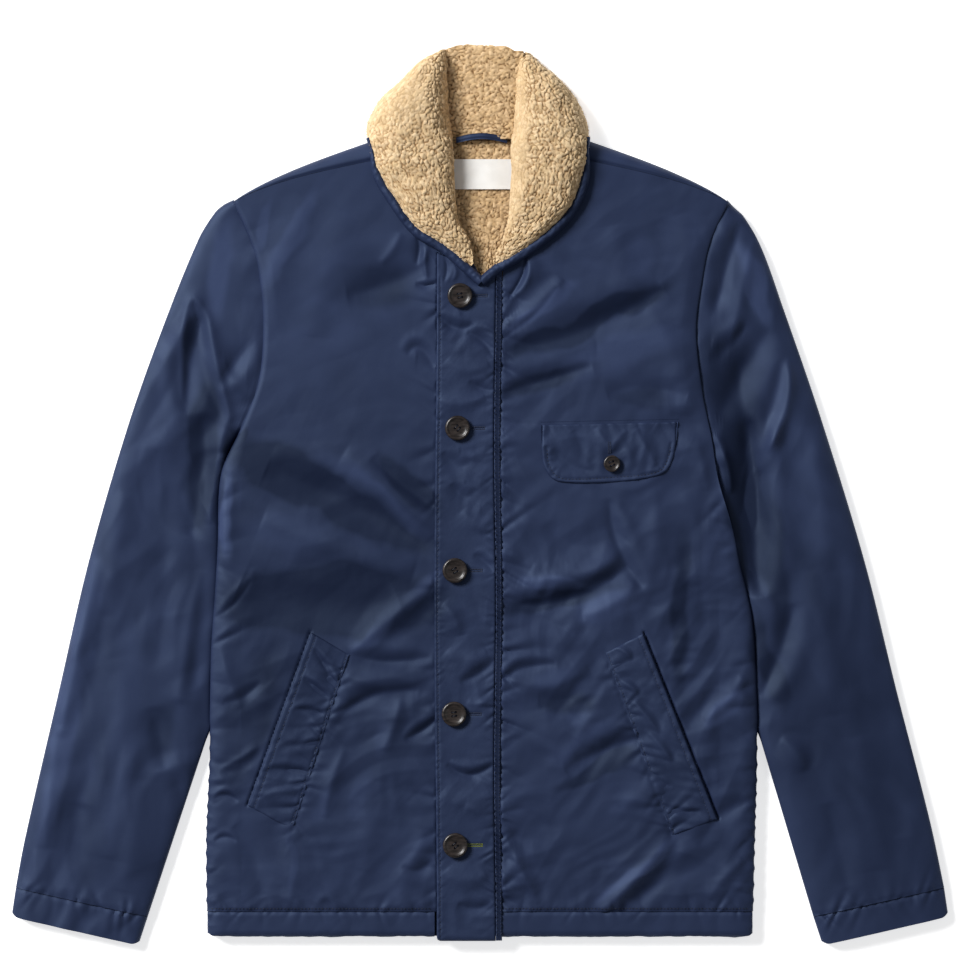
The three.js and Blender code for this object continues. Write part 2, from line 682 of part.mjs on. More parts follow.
// The lower edge of the chest flap, with its round corners, and the ends of its straight top edge
const flapEdge = [
  { x: 55, y: 440 }, { x: 57, y: 424 }, { x: 66, y: 411.5 }, { x: 85, y: 408.5 }, { x: 117, y: 409 },
  { x: 149, y: 412.5 }, { x: 166, y: 418 }, { x: 173, y: 430 }, { x: 176, y: 444 },
]
const flapEnds = [54.6, 177.8]
const flapTopY = [461.7, 464.4]
const flapWall = 3

function chestFlap() {
  const lower = new THREE.SplineCurve(flapEdge.map(({ x, y }) => new THREE.Vector2(x, y)))
  const rows = steps(3).map((t) => steps(12).map((s) => {
    const foot = lower.getPoint(s)
    return [mix(foot.x, mix(...flapEnds, s), t), mix(foot.y, mix(...flapTopY, s), t)]
  }))
  return appliedPiece(rows, flapWall)
}

// The slanted welt of a hand pocket, by the corners of its opening edge and of its inner edge
const welts = {
  right: { topOuter: [-152, 274], bottomOuter: [-209, 118], topInner: [-118, 254], bottomInner: [-169, 96] },
  left: { topOuter: [146, 273], bottomOuter: [213, 106], topInner: [112, 256], bottomInner: [172, 91] },
}

function handWelt(side) {
  const { topOuter, bottomOuter, topInner, bottomInner } = welts[side]
  const edge = ([x1, y1], [x2, y2]) => (t) => [mix(x1, x2, t), mix(y1, y2, t)]
  const rows = ruledRows(edge(bottomOuter, topOuter), edge(bottomInner, topInner), steps(9), steps(3))
  return appliedPiece(rows, trimWall)
}

// A four-hole button with a raised rim, its underside at z = 0
function button(across) {
  const radius = across / 2
  const thick = across * 0.18
  const profile = [
    [0, 0], [radius * 0.8, 0], [radius, thick * 0.45], [radius * 0.97, thick * 0.9],
    [radius * 0.86, thick], [radius * 0.72, thick * 0.72], [0, thick * 0.72],
  ].map(([r, z]) => new THREE.Vector2(r, z))
  const lathe = new THREE.LatheGeometry(profile, 20).rotateX(Math.PI / 2)
  let solid = toSolid(lathe)
  for (let k = 0; k < 4; k++) {
    const turn = Math.PI * (k / 2 + 0.25)
    const hole = new THREE.CylinderGeometry(across * 0.05, across * 0.05, thick * 3, 6).rotateX(Math.PI / 2)
    hole.translate(across * 0.11 * Math.cos(turn), across * 0.11 * Math.sin(turn), 0)
    solid = solid.subtract(toSolid(hole))
  }
  return toGeometry(solid)
}

// The places of the five front buttons down the placket
const frontButtons = [
  { x: -18.5, y: 577 }, { x: -20.7, y: 458 }, { x: -23, y: 330 }, { x: -23.8, y: 201 }, { x: -22.7, y: 83 },
]
const flapButton = { x: 118, y: 426 }

// The highest point of a surface under a round button
function seatUnder(surface, x, y, radius) {
  const around = steps(12).map((t) => {
    const turn = 2 * Math.PI * t
    return surface(x + radius * Math.cos(turn), y + radius * Math.sin(turn))
  })
  return Math.max(surface(x, y), ...around) + seamGap
}

place('back_panel', backPanel(), 'shell')
place('right_front', rightFront(), 'shell')
place('left_front', frontPanel('left'), 'shell')
place('placket_band', placketBand(), 'shell')
place('placket_strip', placketStrip(), 'shell')
place('right_hem', frontHem(-edgeX('right', 0) + 1, placketLeft - seamGap), 'shell')
place('left_hem', frontHem(24, edgeX('left', 0) - 1), 'shell')
place('back_hem', backHem(), 'shell')
for (const side of ['right', 'left']) {
  place(`${side}_sleeve`, sleeve(side), 'shell')
  place(`${side}_cuff`, cuff(side), 'shell')
  place(`${side}_hand_welt`, handWelt(side), 'shell')
  place(`${side}_collar_pile`, collarHalf(side), 'fleece')
  place(`${side}_collar_rim`, collarRim(side), 'shell')
}
place('back_collar_pile', collarBack(), 'fleece')
place('under_collar', underCollarBack(), 'shell')
place('neck_lining', neckLining(), 'fleece')
place('hanger_loop', hangerLoop(), 'shell')
place('neck_label', neckLabel(), 'label')
place('chest_flap', chestFlap(), 'shell')
frontButtons.forEach(({ x, y }, i) => {
  const seat = seatUnder(placketHeight, x, y, buttonAcross / 2)
  place(`front_button_${i + 1}`, button(buttonAcross), 'button').position.set(x, y, seat)
})
const flapFace = (x, y) => bodyTop(x, y) + seamGap + flapWall
const flapSeat = seatUnder(flapFace, flapButton.x, flapButton.y, flapButtonAcross / 2)
place('flap_button', button(flapButtonAcross), 'button').position.set(flapButton.x, flapButton.y, flapSeat)

// The origin is under the middle of the whole jacket
jacket.updateMatrixWorld(true)
const box = new THREE.Box3().setFromObject(jacket)
const centre = box.getCenter(new THREE.Vector3())
jacket.position.set(-centre.x, -centre.y, -box.min.z)

export default jacket
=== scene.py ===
import math

import bpy
import bmesh
import numpy as np
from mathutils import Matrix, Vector
from mathutils.kdtree import KDTree


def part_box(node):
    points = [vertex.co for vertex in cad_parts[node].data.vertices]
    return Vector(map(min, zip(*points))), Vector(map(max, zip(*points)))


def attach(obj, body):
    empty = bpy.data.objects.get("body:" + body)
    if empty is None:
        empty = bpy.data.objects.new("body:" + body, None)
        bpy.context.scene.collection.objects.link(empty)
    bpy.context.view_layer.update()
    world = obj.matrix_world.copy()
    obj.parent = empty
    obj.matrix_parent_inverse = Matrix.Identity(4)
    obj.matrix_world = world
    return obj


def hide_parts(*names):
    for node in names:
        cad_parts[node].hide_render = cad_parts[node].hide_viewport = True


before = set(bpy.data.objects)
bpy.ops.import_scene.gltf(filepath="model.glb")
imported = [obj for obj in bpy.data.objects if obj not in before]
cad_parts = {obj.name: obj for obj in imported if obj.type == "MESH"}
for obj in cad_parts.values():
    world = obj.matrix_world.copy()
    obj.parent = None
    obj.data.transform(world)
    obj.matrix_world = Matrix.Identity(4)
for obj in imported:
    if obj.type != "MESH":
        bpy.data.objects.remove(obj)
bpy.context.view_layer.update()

# Sizes here are in garment millimetres: X from the centre front, Y from the hem, Z up from the
# surface. "right" and "left" are the wearer's, and right pieces have negative X.
SIDES = {"right": -1, "left": 1}
SEAM_GAP = 0.4
BODY_WALL = 8
FRONT_BASE = BODY_WALL + SEAM_GAP
FRONT_TOP = FRONT_BASE + BODY_WALL
SIDE_SEAM_TOP = FRONT_BASE + 2.2
SIDE_ROLL = 16
ARMHOLE_ROLL = 10
BODY_PUFF = 1.6
HEM_DEPTH = 23
BACK_EDGE_RISE = 4
SHOULDER_TIP = (223, 661)
NECK_POINT = (95, 699)
BACK_NECK_Y = 706
ARMPIT_Y = {"right": 424, "left": 412}
PLACKET_LEFT = -41
PLACKET_RIGHT = 13
PLACKET_TOP = 593
PLACKET_FOOT = -3.5
PLACKET_RISE = 2.4
STRIP_WIDTH = 5.2
SLEEVE_HEIGHT = 14
SLEEVE_WALL = 5.2
SLEEVE_END = {"outer_y": 44, "inner_x": 300, "inner_y": 18}
CUFF_HEIGHT = 12.9
CUFF_WALL = 3.8
CUFF_DEPTH = 26
BUTTON_ACROSS = 22.5
FLAP_BUTTON_ACROSS = 15
THICK_PER_ACROSS = 0.18
HOLE_OFFSET = 1.65
HOLE_RADIUS = 1.05
FRONT_BUTTONS = ((-18.5, 577), (-20.7, 458), (-23, 330), (-23.8, 201), (-22.7, 83))
FLAP_BUTTON = (118, 426)

# The middle of the third button and the foot of the placket tie garment millimetres to the frame
button_low, button_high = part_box("front_button_3")
centre_x = (button_low.x + button_high.x) / 2 - FRONT_BUTTONS[2][0] / 1000
hem_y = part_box("placket_band")[0].y - PLACKET_FOOT / 1000


def to_frame(points):
    """Garment millimetres as metres in the frame."""
    return np.asarray(points, float).reshape(-1, 3) / 1000 + (centre_x, hem_y, 0)


# The side of the body from hem to shoulder tip: side seam below the armpit, armhole seam above it
BODY_EDGE = {
    "right": {"y": (0, 87, 159, 258, 303, 355, 400, 424, 458, 502, 552, 598, 627, 661),
              "x": (247, 248, 245, 243, 240, 237, 236, 232, 216, 200, 196, 200, 208, 223)},
    "left": {"y": (0, 87, 159, 213, 285, 339, 371, 412, 449, 488, 546, 588, 626, 661),
             "x": (246, 248, 250, 249, 245, 233, 226, 214, 208, 200, 194, 199, 207, 223)},
}

# The outer edge of each sleeve from cuff to shoulder tip
SLEEVE_EDGE = {
    "right": {"y": (-8, 22, 44, 87, 222, 339, 463, 553, 627, 653, 660.3, 664),
              "x": (429, 423, 419, 411, 380, 353, 317, 285, 255, 240, 231.5, 223.8)},
    "left": {"y": (-8, 22, 44, 105, 222, 339, 470, 569, 619, 649, 656.8, 664),
             "x": (428, 422, 418, 405, 375, 346, 306, 272, 254, 238, 230, 223.8)},
}

# The front edge and neckline of each front, by the height on its side edge that each point pairs with
FRONT_EDGE = {
    "right": {"side_y": (23, 100, 260, 400, 502, 552, 585, 612, 637, 661),
              "x": (9, 9, 9, 9, 9, 1, -16, -43, -69, -95),
              "y": (23, 110, 285, 440, 556, 590, 621, 644, 667, 699)},
    "left": {"side_y": (23, 100, 260, 400, 502, 552, 585, 612, 637, 661),
             "x": (19, 19, 19, 19, 19, 20.4, 28, 50, 73, 95),
             "y": (23, 110, 285, 440, 556, 599, 622, 643, 667, 699)},
}

# Each collar half from the point of the V to the nape, at even steps: its outer edge, its roll edge
# and, the same on both halves, the height of its crest
COLLAR = {
    "right": {"outer_x": (-9, -31, -55, -72, -91, -97, -102, -92, -76, -55, -40),
              "outer_y": (603, 622, 637, 658, 689, 709, 729, 751, 767, 787, 796),
              "inner_x": (-6, -10, -20, -23, -24, -25, -27, -29, -30, -31, -33),
              "inner_y": (606, 626, 643, 663, 689, 710, 732, 754, 772, 791, 799)},
    "left": {"outer_x": (14, 35, 62, 81, 92, 95, 96, 88, 77, 58, 45),
             "outer_y": (605, 617, 637, 659, 690, 709, 730, 750, 766, 783, 795),
             "inner_x": (11, 20, 25, 27, 28, 28, 28, 29, 30, 32, 37),
             "inner_y": (609, 626, 646, 665, 690, 710, 732, 753, 769, 786, 796)},
}
COLLAR_CREST = (24, 28, 33, 37, 40, 41, 41, 39, 35, 28, 19)


def clamp(value, low=0.0, high=1.0):
    return np.clip(value, low, high)


def mix(a, b, t):
    return a + (b - a) * t


def smooth(t):
    t = clamp(t)
    return t * t * (3 - 2 * t)


def read(keys, values, key):
    """A smooth curve through a table's column of values, read at places between its keys."""
    keys, values, key = (np.asarray(a, float) for a in (keys, values, key))
    before = np.maximum(np.arange(len(keys)) - 1, 0)
    after = np.minimum(np.arange(len(keys)) + 1, len(keys) - 1)
    slope = (values[after] - values[before]) / (keys[after] - keys[before])
    i = clamp(np.searchsorted(keys, key, side="left") - 1, 0, len(keys) - 2).astype(int)
    span = keys[i + 1] - keys[i]
    t = clamp((key - keys[i]) / span)
    rise = values[i + 1] - values[i]
    start = slope[i] * span - rise
    end = rise - slope[i + 1] * span
    return values[i] + rise * t + t * (1 - t) * (start * (1 - t) + end * t)


def read_evenly(values, shares):
    """A smooth curve through values at even steps, read at shares of the way through them."""
    return read(np.arange(len(values)), values, shares * (len(values) - 1))


def edge_x(side, y):
    """The side of the body, drawn into small scallops by the side seam where it lies free."""
    scallop = 1.1 * np.abs(np.sin(math.pi * y / 12 + 0.9 * np.sin(y / 17)))
    return read(BODY_EDGE[side]["y"], BODY_EDGE[side]["x"], y) - scallop * smooth((200 - y) / 20)


def body_side(x, y):
    """How far the body reaches out on the side where each place is."""
    return np.where(x < 0, edge_x("right", y), edge_x("left", y))


def roll(distance, reach):
    """How far an edge has rolled over at a distance from it: 0 on the edge, 1 where the roll ends."""
    return np.sqrt(1 - (1 - clamp(distance / reach)) ** 2)


def curve(*points, steps=12):
    """A polyline on the parabola through three points, or on a straight line between two."""
    points = np.asarray(points, float)
    t = np.linspace(0, 1, steps)[:, None]
    if len(points) == 2:
        return mix(points[0], points[1], t)
    start, middle, end = points
    handle = 2 * middle - (start + end) / 2
    return start * (1 - t) ** 2 + 2 * handle * t * (1 - t) + end * t**2


def beside(path, x, y):
    """The signed distance of places from a path, positive on its left, and how far along they are."""
    path = np.asarray(path, float)
    best = np.full(np.shape(x), np.inf)
    side = np.zeros(np.shape(x))
    along = np.zeros(np.shape(x))
    lengths = np.hypot(*np.diff(path, axis=0).T)
    gone = 0.0
    for (x1, y1), (x2, y2), length in zip(path[:-1], path[1:], lengths):
        dx, dy = (x2 - x1) / length, (y2 - y1) / length
        step = clamp((x - x1) * dx + (y - y1) * dy, 0, length)
        off_x, off_y = x - x1 - dx * step, y - y1 - dy * step
        distance = np.hypot(off_x, off_y)
        closer = distance < best
        best = np.where(closer, distance, best)
        side = np.where(closer, np.copysign(distance, dx * off_y - dy * off_x), side)
        along = np.where(closer, gone + step, along)
        gone += length
    return side, along, gone


def noise(x, y, size, seed):
    """Smooth noise from about -1 to 1 over the plan, with bumps of about the given size."""
    cells = 64
    turn = np.random.default_rng(seed).uniform(0, 2 * math.pi, (cells, cells))
    u, v = x / size + 40.3 + 7 * seed % 23, y / size + 40.7
    i, j = np.floor(u).astype(int), np.floor(v).astype(int)
    fu, fv = u - i, v - j
    total = 0
    for di in (0, 1):
        for dj in (0, 1):
            angle = turn[(i + di) % cells, (j + dj) % cells]
            pull = np.cos(angle) * (fu - di) + np.sin(angle) * (fv - dj)
            total = total + pull * smooth(1 - abs(fu - di)) * smooth(1 - abs(fv - dj))
    return total * 1.6


def wrinkles(x, y, seed, turn=0.0, stretch=1.8, size=46):
    """Soft crossing wrinkles: noise bent by noise, longer one way, with round tops and tight valleys."""
    u = x * math.cos(turn) + y * math.sin(turn)
    v = y * math.cos(turn) - x * math.sin(turn)
    u = u + 14 * noise(x, y, 60, seed + 1)
    v = v + 14 * noise(x, y, 60, seed + 2)
    broad = noise(u / stretch, v, size, seed + 3)
    billow = np.abs(noise(u / stretch, v, size * 0.8, seed + 4)) - 0.3
    return 0.9 * broad + 0.9 * billow


# How much higher the folds are built than their tables say
FOLD_SCALE = 1.85


def crumple(x, y, size, seed, turn, spread=0.7):
    """Flat facets that meet in crisp folds, as pressed satin takes. The folds run along the turn."""
    draw = np.random.default_rng(seed)
    total = 0
    for k in range(6):
        across = turn + math.pi / 2 + draw.uniform(-spread, spread)
        pitch = size * draw.uniform(0.7, 1.5)
        bend = noise(x, y, size * 2.4, seed + 10 * k)
        count = (x * math.cos(across) + y * math.sin(across)) / pitch + 1.2 * bend + draw.uniform()
        wave = np.abs(2 * (count - np.floor(count)) - 1)
        here = smooth(0.1 + 1.9 * noise(x, y, size * 1.8, seed + 10 * k + 5))
        total = total + (np.sqrt(wave**2 + 0.01) - 0.5) * here
    return total


def creases(x, y, rows):
    """The height of listed folds. Each row has the start, middle and end of a crease, its
    rise (negative for a trough), its half width and its lean: how much of the opposite form lies
    beside it, on its left if positive and on its right if negative."""
    height = np.zeros(np.shape(x))
    for x1, y1, x2, y2, x3, y3, rise, width, lean in rows:
        reach = 4 * width
        near = ((x > min(x1, x2, x3) - reach) & (x < max(x1, x2, x3) + reach)
                & (y > min(y1, y2, y3) - reach) & (y < max(y1, y2, y3) + reach))
        if not near.any():
            continue
        side, along, length = beside(curve((x1, y1), (x2, y2), (x3, y3)), x[near], y[near])
        share = along / length
        taper = np.sin(math.pi * share) ** 0.6
        spread = width * (0.7 + 0.6 * np.sin(math.pi * share))
        blunt = (0.35 if rise > 0 else 0.2) + width / 22
        form = np.exp(blunt - np.sqrt((1.5 * side / spread) ** 2 + blunt**2))
        if lean:
            off = math.copysign(1.5, lean) * spread
            form = form - abs(lean) * np.exp(-(((side - off) / (0.9 * spread)) ** 2))
        height[near] += FOLD_SCALE * rise * taper * form
    return height


def puckers(x, y, path, pitch, reach, rise, seed, sides=(1, -1)):
    """Small pinched folds that run out from a seam, uneven in place, length, depth and lean."""
    side, along, length = beside(path, x, y)
    height = np.zeros(np.shape(x))
    draw = np.random.default_rng(seed)
    for sign in sides:
        near = (side * sign >= 0) & (np.abs(side) < 2.4 * reach)
        away, s = np.abs(side[near]), along[near]
        total = np.zeros(np.shape(s))
        for k in range(max(int(length / pitch), 1)):
            place = (k + draw.uniform(0.1, 0.9)) * pitch
            strength, lean = draw.uniform(0.2, 1.0) ** 1.3, draw.uniform(-0.8, 0.8)
            far, width = reach * draw.uniform(0.35, 1.15), pitch * draw.uniform(0.16, 0.3)
            off = (s - place - lean * away) / (width * (1 + 0.8 * away / reach))
            pinch = 0.7 * np.exp(-((off - 1.2) ** 2)) + 0.45 * np.exp(-((off + 1.3) ** 2))
            pinch = pinch - np.exp(-1.7 * np.sqrt(off**2 + 0.01))
            total += strength * pinch * np.exp(-((away / far) ** 2))
        height[near] += rise * total
    return height


def valley(path, x, y, depth, width):
    """A groove along a path, as a seam or a row of stitches draws into the cloth."""
    side = beside(path, x, y)[0]
    return -depth * np.exp(-((side / width) ** 2))


# The main folds of the fronts, in the columns that creases() reads
FRONT_CREASES = [
    (-193, 421, -120, 389, -36, 347, -3.2, 15, 0.35),
    (-122, 436, -84, 408, -40, 362, 2.2, 12, 0),
    (-97, 432, -72, 408, -36, 384, -2.0, 7, 0),
    (-196, 376, -130, 352, -60, 330, 2.6, 13, 0),
    (-216, 318, -140, 296, -76, 306, -2.8, 20, 0),
    (-38, 322, -74, 292, -116, 256, 2.2, 8, 0.4),
    (-206, 322, -222, 300, -242, 287, -0.9, 3.5, -0.5),
    (-204, 332, -212, 312, -226, 300, 0.9, 6, 0),
    (-229, 414, -232, 380, -229, 345, 2.0, 6, 0),
    (-120, 578, -84, 588, -42, 608, -2.2, 11, 0),
    (-66, 524, -54, 530, -40, 508, -1.4, 5, 0.5),
    (-155, 663, -180, 610, -203, 548, 1.5, 13, 0),
    (-118, 650, -140, 590, -150, 540, 1.2, 15, 0),
    (-57, 631, -55, 619, -58, 605, -1.5, 3, 0.4),
    (-49, 620, -50, 606, -48, 592, 1.4, 3, 0),
    (-58, 588, -48, 586, -38, 590, -1.3, 2.5, 0.5),
    (-72, 634, -78, 620, -90, 606, 1.0, 5, 0),
    (38, 611, 38, 596, 25, 575, -1.8, 2.6, 0.5),
    (-116, 254, -84, 248, -44, 252, -1.8, 6, 0.4),
    (-120, 236, -80, 226, -40, 238, 1.4, 8, 0),
    (-128, 196, -96, 218, -56, 222, -2.0, 7, 0.5),
    (-68, 178, -52, 186, -38, 198, -1.8, 4, 0.5),
    (-72, 214, -78, 190, -88, 168, 1.4, 6, 0),
    (-236, 262, -226, 232, -216, 206, 1.0, 6, 0.4),
    (-240, 124, -230, 128, -218, 122, -1.0, 2.5, 0.5),
    (-240, 86, -230, 90, -220, 86, -0.9, 2.5, 0.5),
    (-236, 150, -218, 160, -200, 172, 0.9, 4, -0.4),
    (-232, 212, -214, 216, -198, 230, -0.8, 4, 0.5),
    (-122, 170, -134, 138, -140, 108, 1.5, 6, 0),
    (-60, 128, -76, 148, -96, 180, 1.2, 14, 0),
    (-76, 26, -66, 52, -50, 96, 1.6, 9, 0),
    (-108, 60, -100, 92, -92, 140, 1.0, 12, 0),
    (-170, 24, -168, 62, -176, 92, 1.0, 9, 0),
    (-148, 28, -138, 36, -128, 22, 1.0, 5, 0),
    (-196, 36, -206, 74, -222, 100, -1.2, 9, 0.3),
    (-44, 70, -56, 60, -70, 64, -1.2, 5, 0.4),
    (22, 556, 46, 562, 74, 592, 2.4, 8, 0.4),
    (18, 540, 44, 556, 70, 586, -1.4, 5, 0),
    (20, 526, 92, 546, 164, 584, -3.4, 12, 0.35),
    (18, 490, 54, 500, 100, 514, -2.0, 7, 0.4),
    (26, 512, 60, 526, 104, 530, 1.4, 10, 0),
    (114, 488, 150, 494, 186, 486, -1.5, 9, 0),
    (150, 566, 176, 520, 180, 470, 1.4, 12, 0),
    (120, 640, 128, 600, 140, 560, 1.3, 14, 0),
    (180, 650, 186, 600, 178, 548, 1.1, 12, 0),
    (42, 616, 46, 598, 34, 574, 1.6, 7, 0),
    (20, 304, 70, 302, 134, 334, -3.4, 9, 0.5),
    (46, 332, 88, 322, 132, 356, 2.6, 10, 0),
    (116, 394, 124, 352, 147, 314, -2.2, 7, 0.5),
    (92, 290, 116, 298, 140, 318, 2.0, 8, 0),
    (156, 404, 158, 360, 150, 300, 1.6, 10, 0),
    (60, 372, 84, 352, 116, 358, -1.2, 9, 0),
    (20, 232, 40, 242, 68, 246, -2.0, 5, 0.6),
    (28, 234, 60, 226, 98, 240, 1.6, 8, 0),
    (20, 284, 52, 286, 84, 272, -1.2, 7, 0),
    (52, 214, 84, 218, 118, 232, -1.6, 10, 0.3),
    (84, 178, 104, 206, 112, 230, 1.4, 9, 0),
    (76, 150, 108, 166, 150, 184, -2.8, 8, 0.5),
    (58, 206, 66, 180, 82, 150, 1.4, 12, 0),
    (170, 94, 148, 62, 108, 22, 2.8, 8, 0.5),
    (176, 150, 148, 132, 128, 116, 1.2, 9, 0),
    (20, 96, 34, 66, 52, 30, 1.5, 6, 0.4),
    (14, 120, 40, 112, 70, 90, -1.0, 9, 0),
    (200, 196, 222, 212, 236, 236, 1.8, 7, 0.5),
    (214, 140, 206, 176, 212, 210, 1.4, 8, 0),
    (196, 82, 214, 108, 240, 124, -1.6, 8, 0.3),
    (206, 34, 218, 52, 236, 70, 1.5, 7, 0),
    (186, 320, 206, 290, 216, 240, -1.8, 14, 0),
    (182, 400, 196, 360, 204, 300, 1.3, 12, 0),
    (178, 446, 196, 436, 204, 402, 1.2, 8, 0.3),
]

# The main folds of the sleeves
SLEEVE_CREASES = [
    (-215, 457, -222, 443, -229, 430, -4.6, 3.4, 0),
    (-266, 470, -262, 520, -252, 558, -3.0, 9, 0.5),
    (-268, 480, -264, 566, -246, 558, 2.2, 5, 0),
    (-246, 566, -238, 520, -224, 464, 2.4, 6, -0.4),
    (-204, 538, -224, 512, -236, 494, -2.0, 7, 0.5),
    (-202, 486, -222, 500, -232, 522, 1.4, 6, 0),
    (-226, 470, -236, 430, -244, 372, 1.8, 7, 0.5),
    (-252, 470, -250, 420, -262, 360, -3.6, 12, 0),
    (-292, 440, -286, 360, -276, 290, -2.2, 17, 0),
    (-262, 370, -252, 300, -262, 214, -2.4, 12, 0),
    (-346, 340, -362, 268, -378, 180, 2.6, 9, 0.4),
    (-380, 190, -388, 130, -392, 80, 2.0, 9, 0),
    (-330, 250, -322, 180, -334, 70, 2.0, 15, 0),
    (-296, 206, -288, 176, -284, 150, -2.0, 10, 0),
    (-320, 400, -332, 340, -338, 290, 1.4, 12, 0),
    (-252, 330, -262, 270, -272, 210, 1.8, 8, 0),
    (-306, 140, -312, 90, -322, 40, 1.4, 11, 0),
    (-360, 120, -366, 80, -372, 44, -1.4, 12, 0),
    (234, 644, 222, 604, 210, 560, -2.6, 8, -0.5),
    (246, 628, 236, 580, 222, 520, 2.0, 8, 0),
    (206, 524, 222, 530, 240, 552, -1.8, 6, 0.5),
    (262, 548, 242, 520, 214, 466, -3.0, 12, 0.3),
    (276, 520, 276, 480, 258, 438, 2.8, 6, -0.5),
    (262, 470, 262, 440, 250, 420, 1.8, 7, 0),
    (242, 466, 244, 400, 252, 306, -6.2, 13, 0.3),
    (211, 452, 221, 428, 226, 400, 2.6, 4.5, 0),
    (232, 520, 238, 470, 246, 420, -2.4, 10, 0),
    (300, 460, 306, 400, 316, 330, 1.6, 12, 0),
    (282, 300, 270, 258, 252, 216, -2.6, 9, 0.4),
    (300, 330, 308, 270, 318, 200, 1.8, 14, 0),
    (270, 178, 282, 168, 292, 150, 1.8, 7, 0.4),
    (360, 260, 366, 180, 380, 90, -1.6, 16, 0),
    (340, 180, 348, 120, 356, 60, 1.4, 14, 0),
    (312, 120, 322, 80, 330, 46, -1.4, 9, 0),
]

# The folds of the placket between its buttons
PLACKET_CREASES = [
    (-33, 612, -30, 602, -33, 590, -1.0, 2.2, 0.5),
    (-25, 606, -22, 598, -26, 590, 1.0, 2.2, 0),
    (-12, 598, -6, 590, 2, 584, -0.9, 2, 0.5),
    (-38, 560, -22, 548, -6, 552, -1.8, 5, 0.5),
    (-12, 544, 2, 536, 12, 520, -1.6, 5, 0.5),
    (-30, 520, -12, 510, 8, 516, 1.2, 7, 0),
    (-10, 500, 0, 494, 12, 492, -1.0, 4, 0.5),
    (-38, 486, -20, 480, 4, 486, 1.2, 6, 0),
    (-34, 436, -20, 424, -8, 430, -1.3, 6, 0.4),
    (-26, 408, -14, 396, -4, 404, -1.2, 6, 0.4),
    (-16, 384, -2, 372, 12, 378, 1.2, 7, 0),
    (-6, 344, 4, 338, 12, 328, -1.2, 4, 0.5),
    (-34, 300, -24, 288, -18, 272, 1.4, 6, 0),
    (-30, 258, -14, 250, 6, 256, 1.2, 8, 0),
    (-18, 230, 0, 238, 14, 252, -1.2, 5, 0.5),
    (-12, 212, 0, 210, 12, 216, 1.0, 5, 0),
    (-30, 156, -10, 146, 12, 156, -1.7, 4, 0.6),
    (-34, 132, -14, 122, 10, 128, 1.2, 8, 0),
    (-14, 118, 0, 112, 12, 102, 1.0, 6, 0),
    (-30, 62, -14, 52, 6, 56, 1.2, 8, 0),
    (-20, 30, -4, 26, 10, 32, -1.2, 5, 0.4),
]


# Patches of painted highlight (positive) and painted shade (negative) in the satin's colour, among them
# painted shadow beside the armpits: middle, half length, half width, direction in degrees and strength
PAINTED_LIGHT_PATCHES = [
    (-96, 587, 34, 20, 0, -0.8),
    (-172, 628, 46, 9, 58, 0.9),
    (-196, 640, 24, 4, 78, 0.8),
    (-150, 560, 60, 40, 60, 0.3),
    (-134, 398, 86, 20, -27, -2.1),
    (-64, 407, 34, 9, -42, -1.2),
    (-130, 300, 110, 190, 0, -0.35),
    (-92, 396, 56, 10, -38, 1.2),
    (-173, 364, 34, 16, -10, 0.45),
    (-135, 303, 88, 28, 0, -2.0),
    (-80, 290, 54, 8, 42, 1.3),
    (-207, 200, 62, 20, 72, -0.6),
    (-226, 378, 36, 6, 85, 1.6),
    (-60, 190, 34, 20, 20, -0.3),
    (-88, 178, 14, 8, 70, 0.5),
    (-106, 131, 20, 9, 70, 0.5),
    (-142, 118, 16, 8, 70, 0.5),
    (-172, 65, 28, 4, 88, 0.5),
    (-60, 60, 40, 26, 60, 0.25),
    (94, 552, 76, 10, 24, -1.8),
    (60, 501, 44, 8, 16, -1.3),
    (142, 485, 24, 8, 0, -0.6),
    (54, 566, 36, 6, 38, 1.3),
    (144, 614, 18, 12, 60, 0.5),
    (126, 526, 60, 14, 18, 0.8),
    (112, 298, 26, 14, 10, 1.1),
    (64, 320, 28, 6, -8, 1.0),
    (70, 303, 48, 7, 12, -1.4),
    (79, 214, 26, 12, 0, -1.1),
    (62, 235, 20, 6, 10, 0.5),
    (86, 201, 14, 9, 60, 0.5),
    (106, 152, 36, 7, 25, -1.4),
    (92, 176, 30, 9, 30, 0.7),
    (180, 292, 70, 9, 88, -1.0),
    (142, 64, 46, 5, 42, 1.2),
    (218, 206, 22, 8, 45, 1.2),
    (215, 360, 50, 12, 85, 0.3),
    (137, 116, 18, 12, 0, 0.4),
    (170, 130, 60, 30, 60, -0.2),
    (-234, 600, 40, 12, 80, 1.2),
    (-369, 218, 118, 10, 79, 1.1),
    (-252, 436, 60, 14, 86, -1.8),
    (-300, 420, 90, 16, 75, 0.25),
    (-252, 272, 58, 8, 84, 0.4),
    (-320, 190, 80, 14, 84, 0.35),
    (-286, 186, 28, 11, 84, -0.7),
    (-345, 110, 70, 12, 80, -0.3),
    (229, 488, 56, 24, 105, -1.0),
    (237, 392, 68, 14, 97, -2.4),
    (262, 346, 74, 12, 100, -0.9),
    (257, 250, 44, 9, 108, -1.0),
    (-222, 443, 14, 4, 62, -2.0),
    (248, 585, 34, 8, 110, 1.4),
    (288, 420, 84, 22, 112, 0.35),
    (324, 195, 150, 60, 108, -0.5),
    (300, 270, 60, 12, 108, 0.3),
]


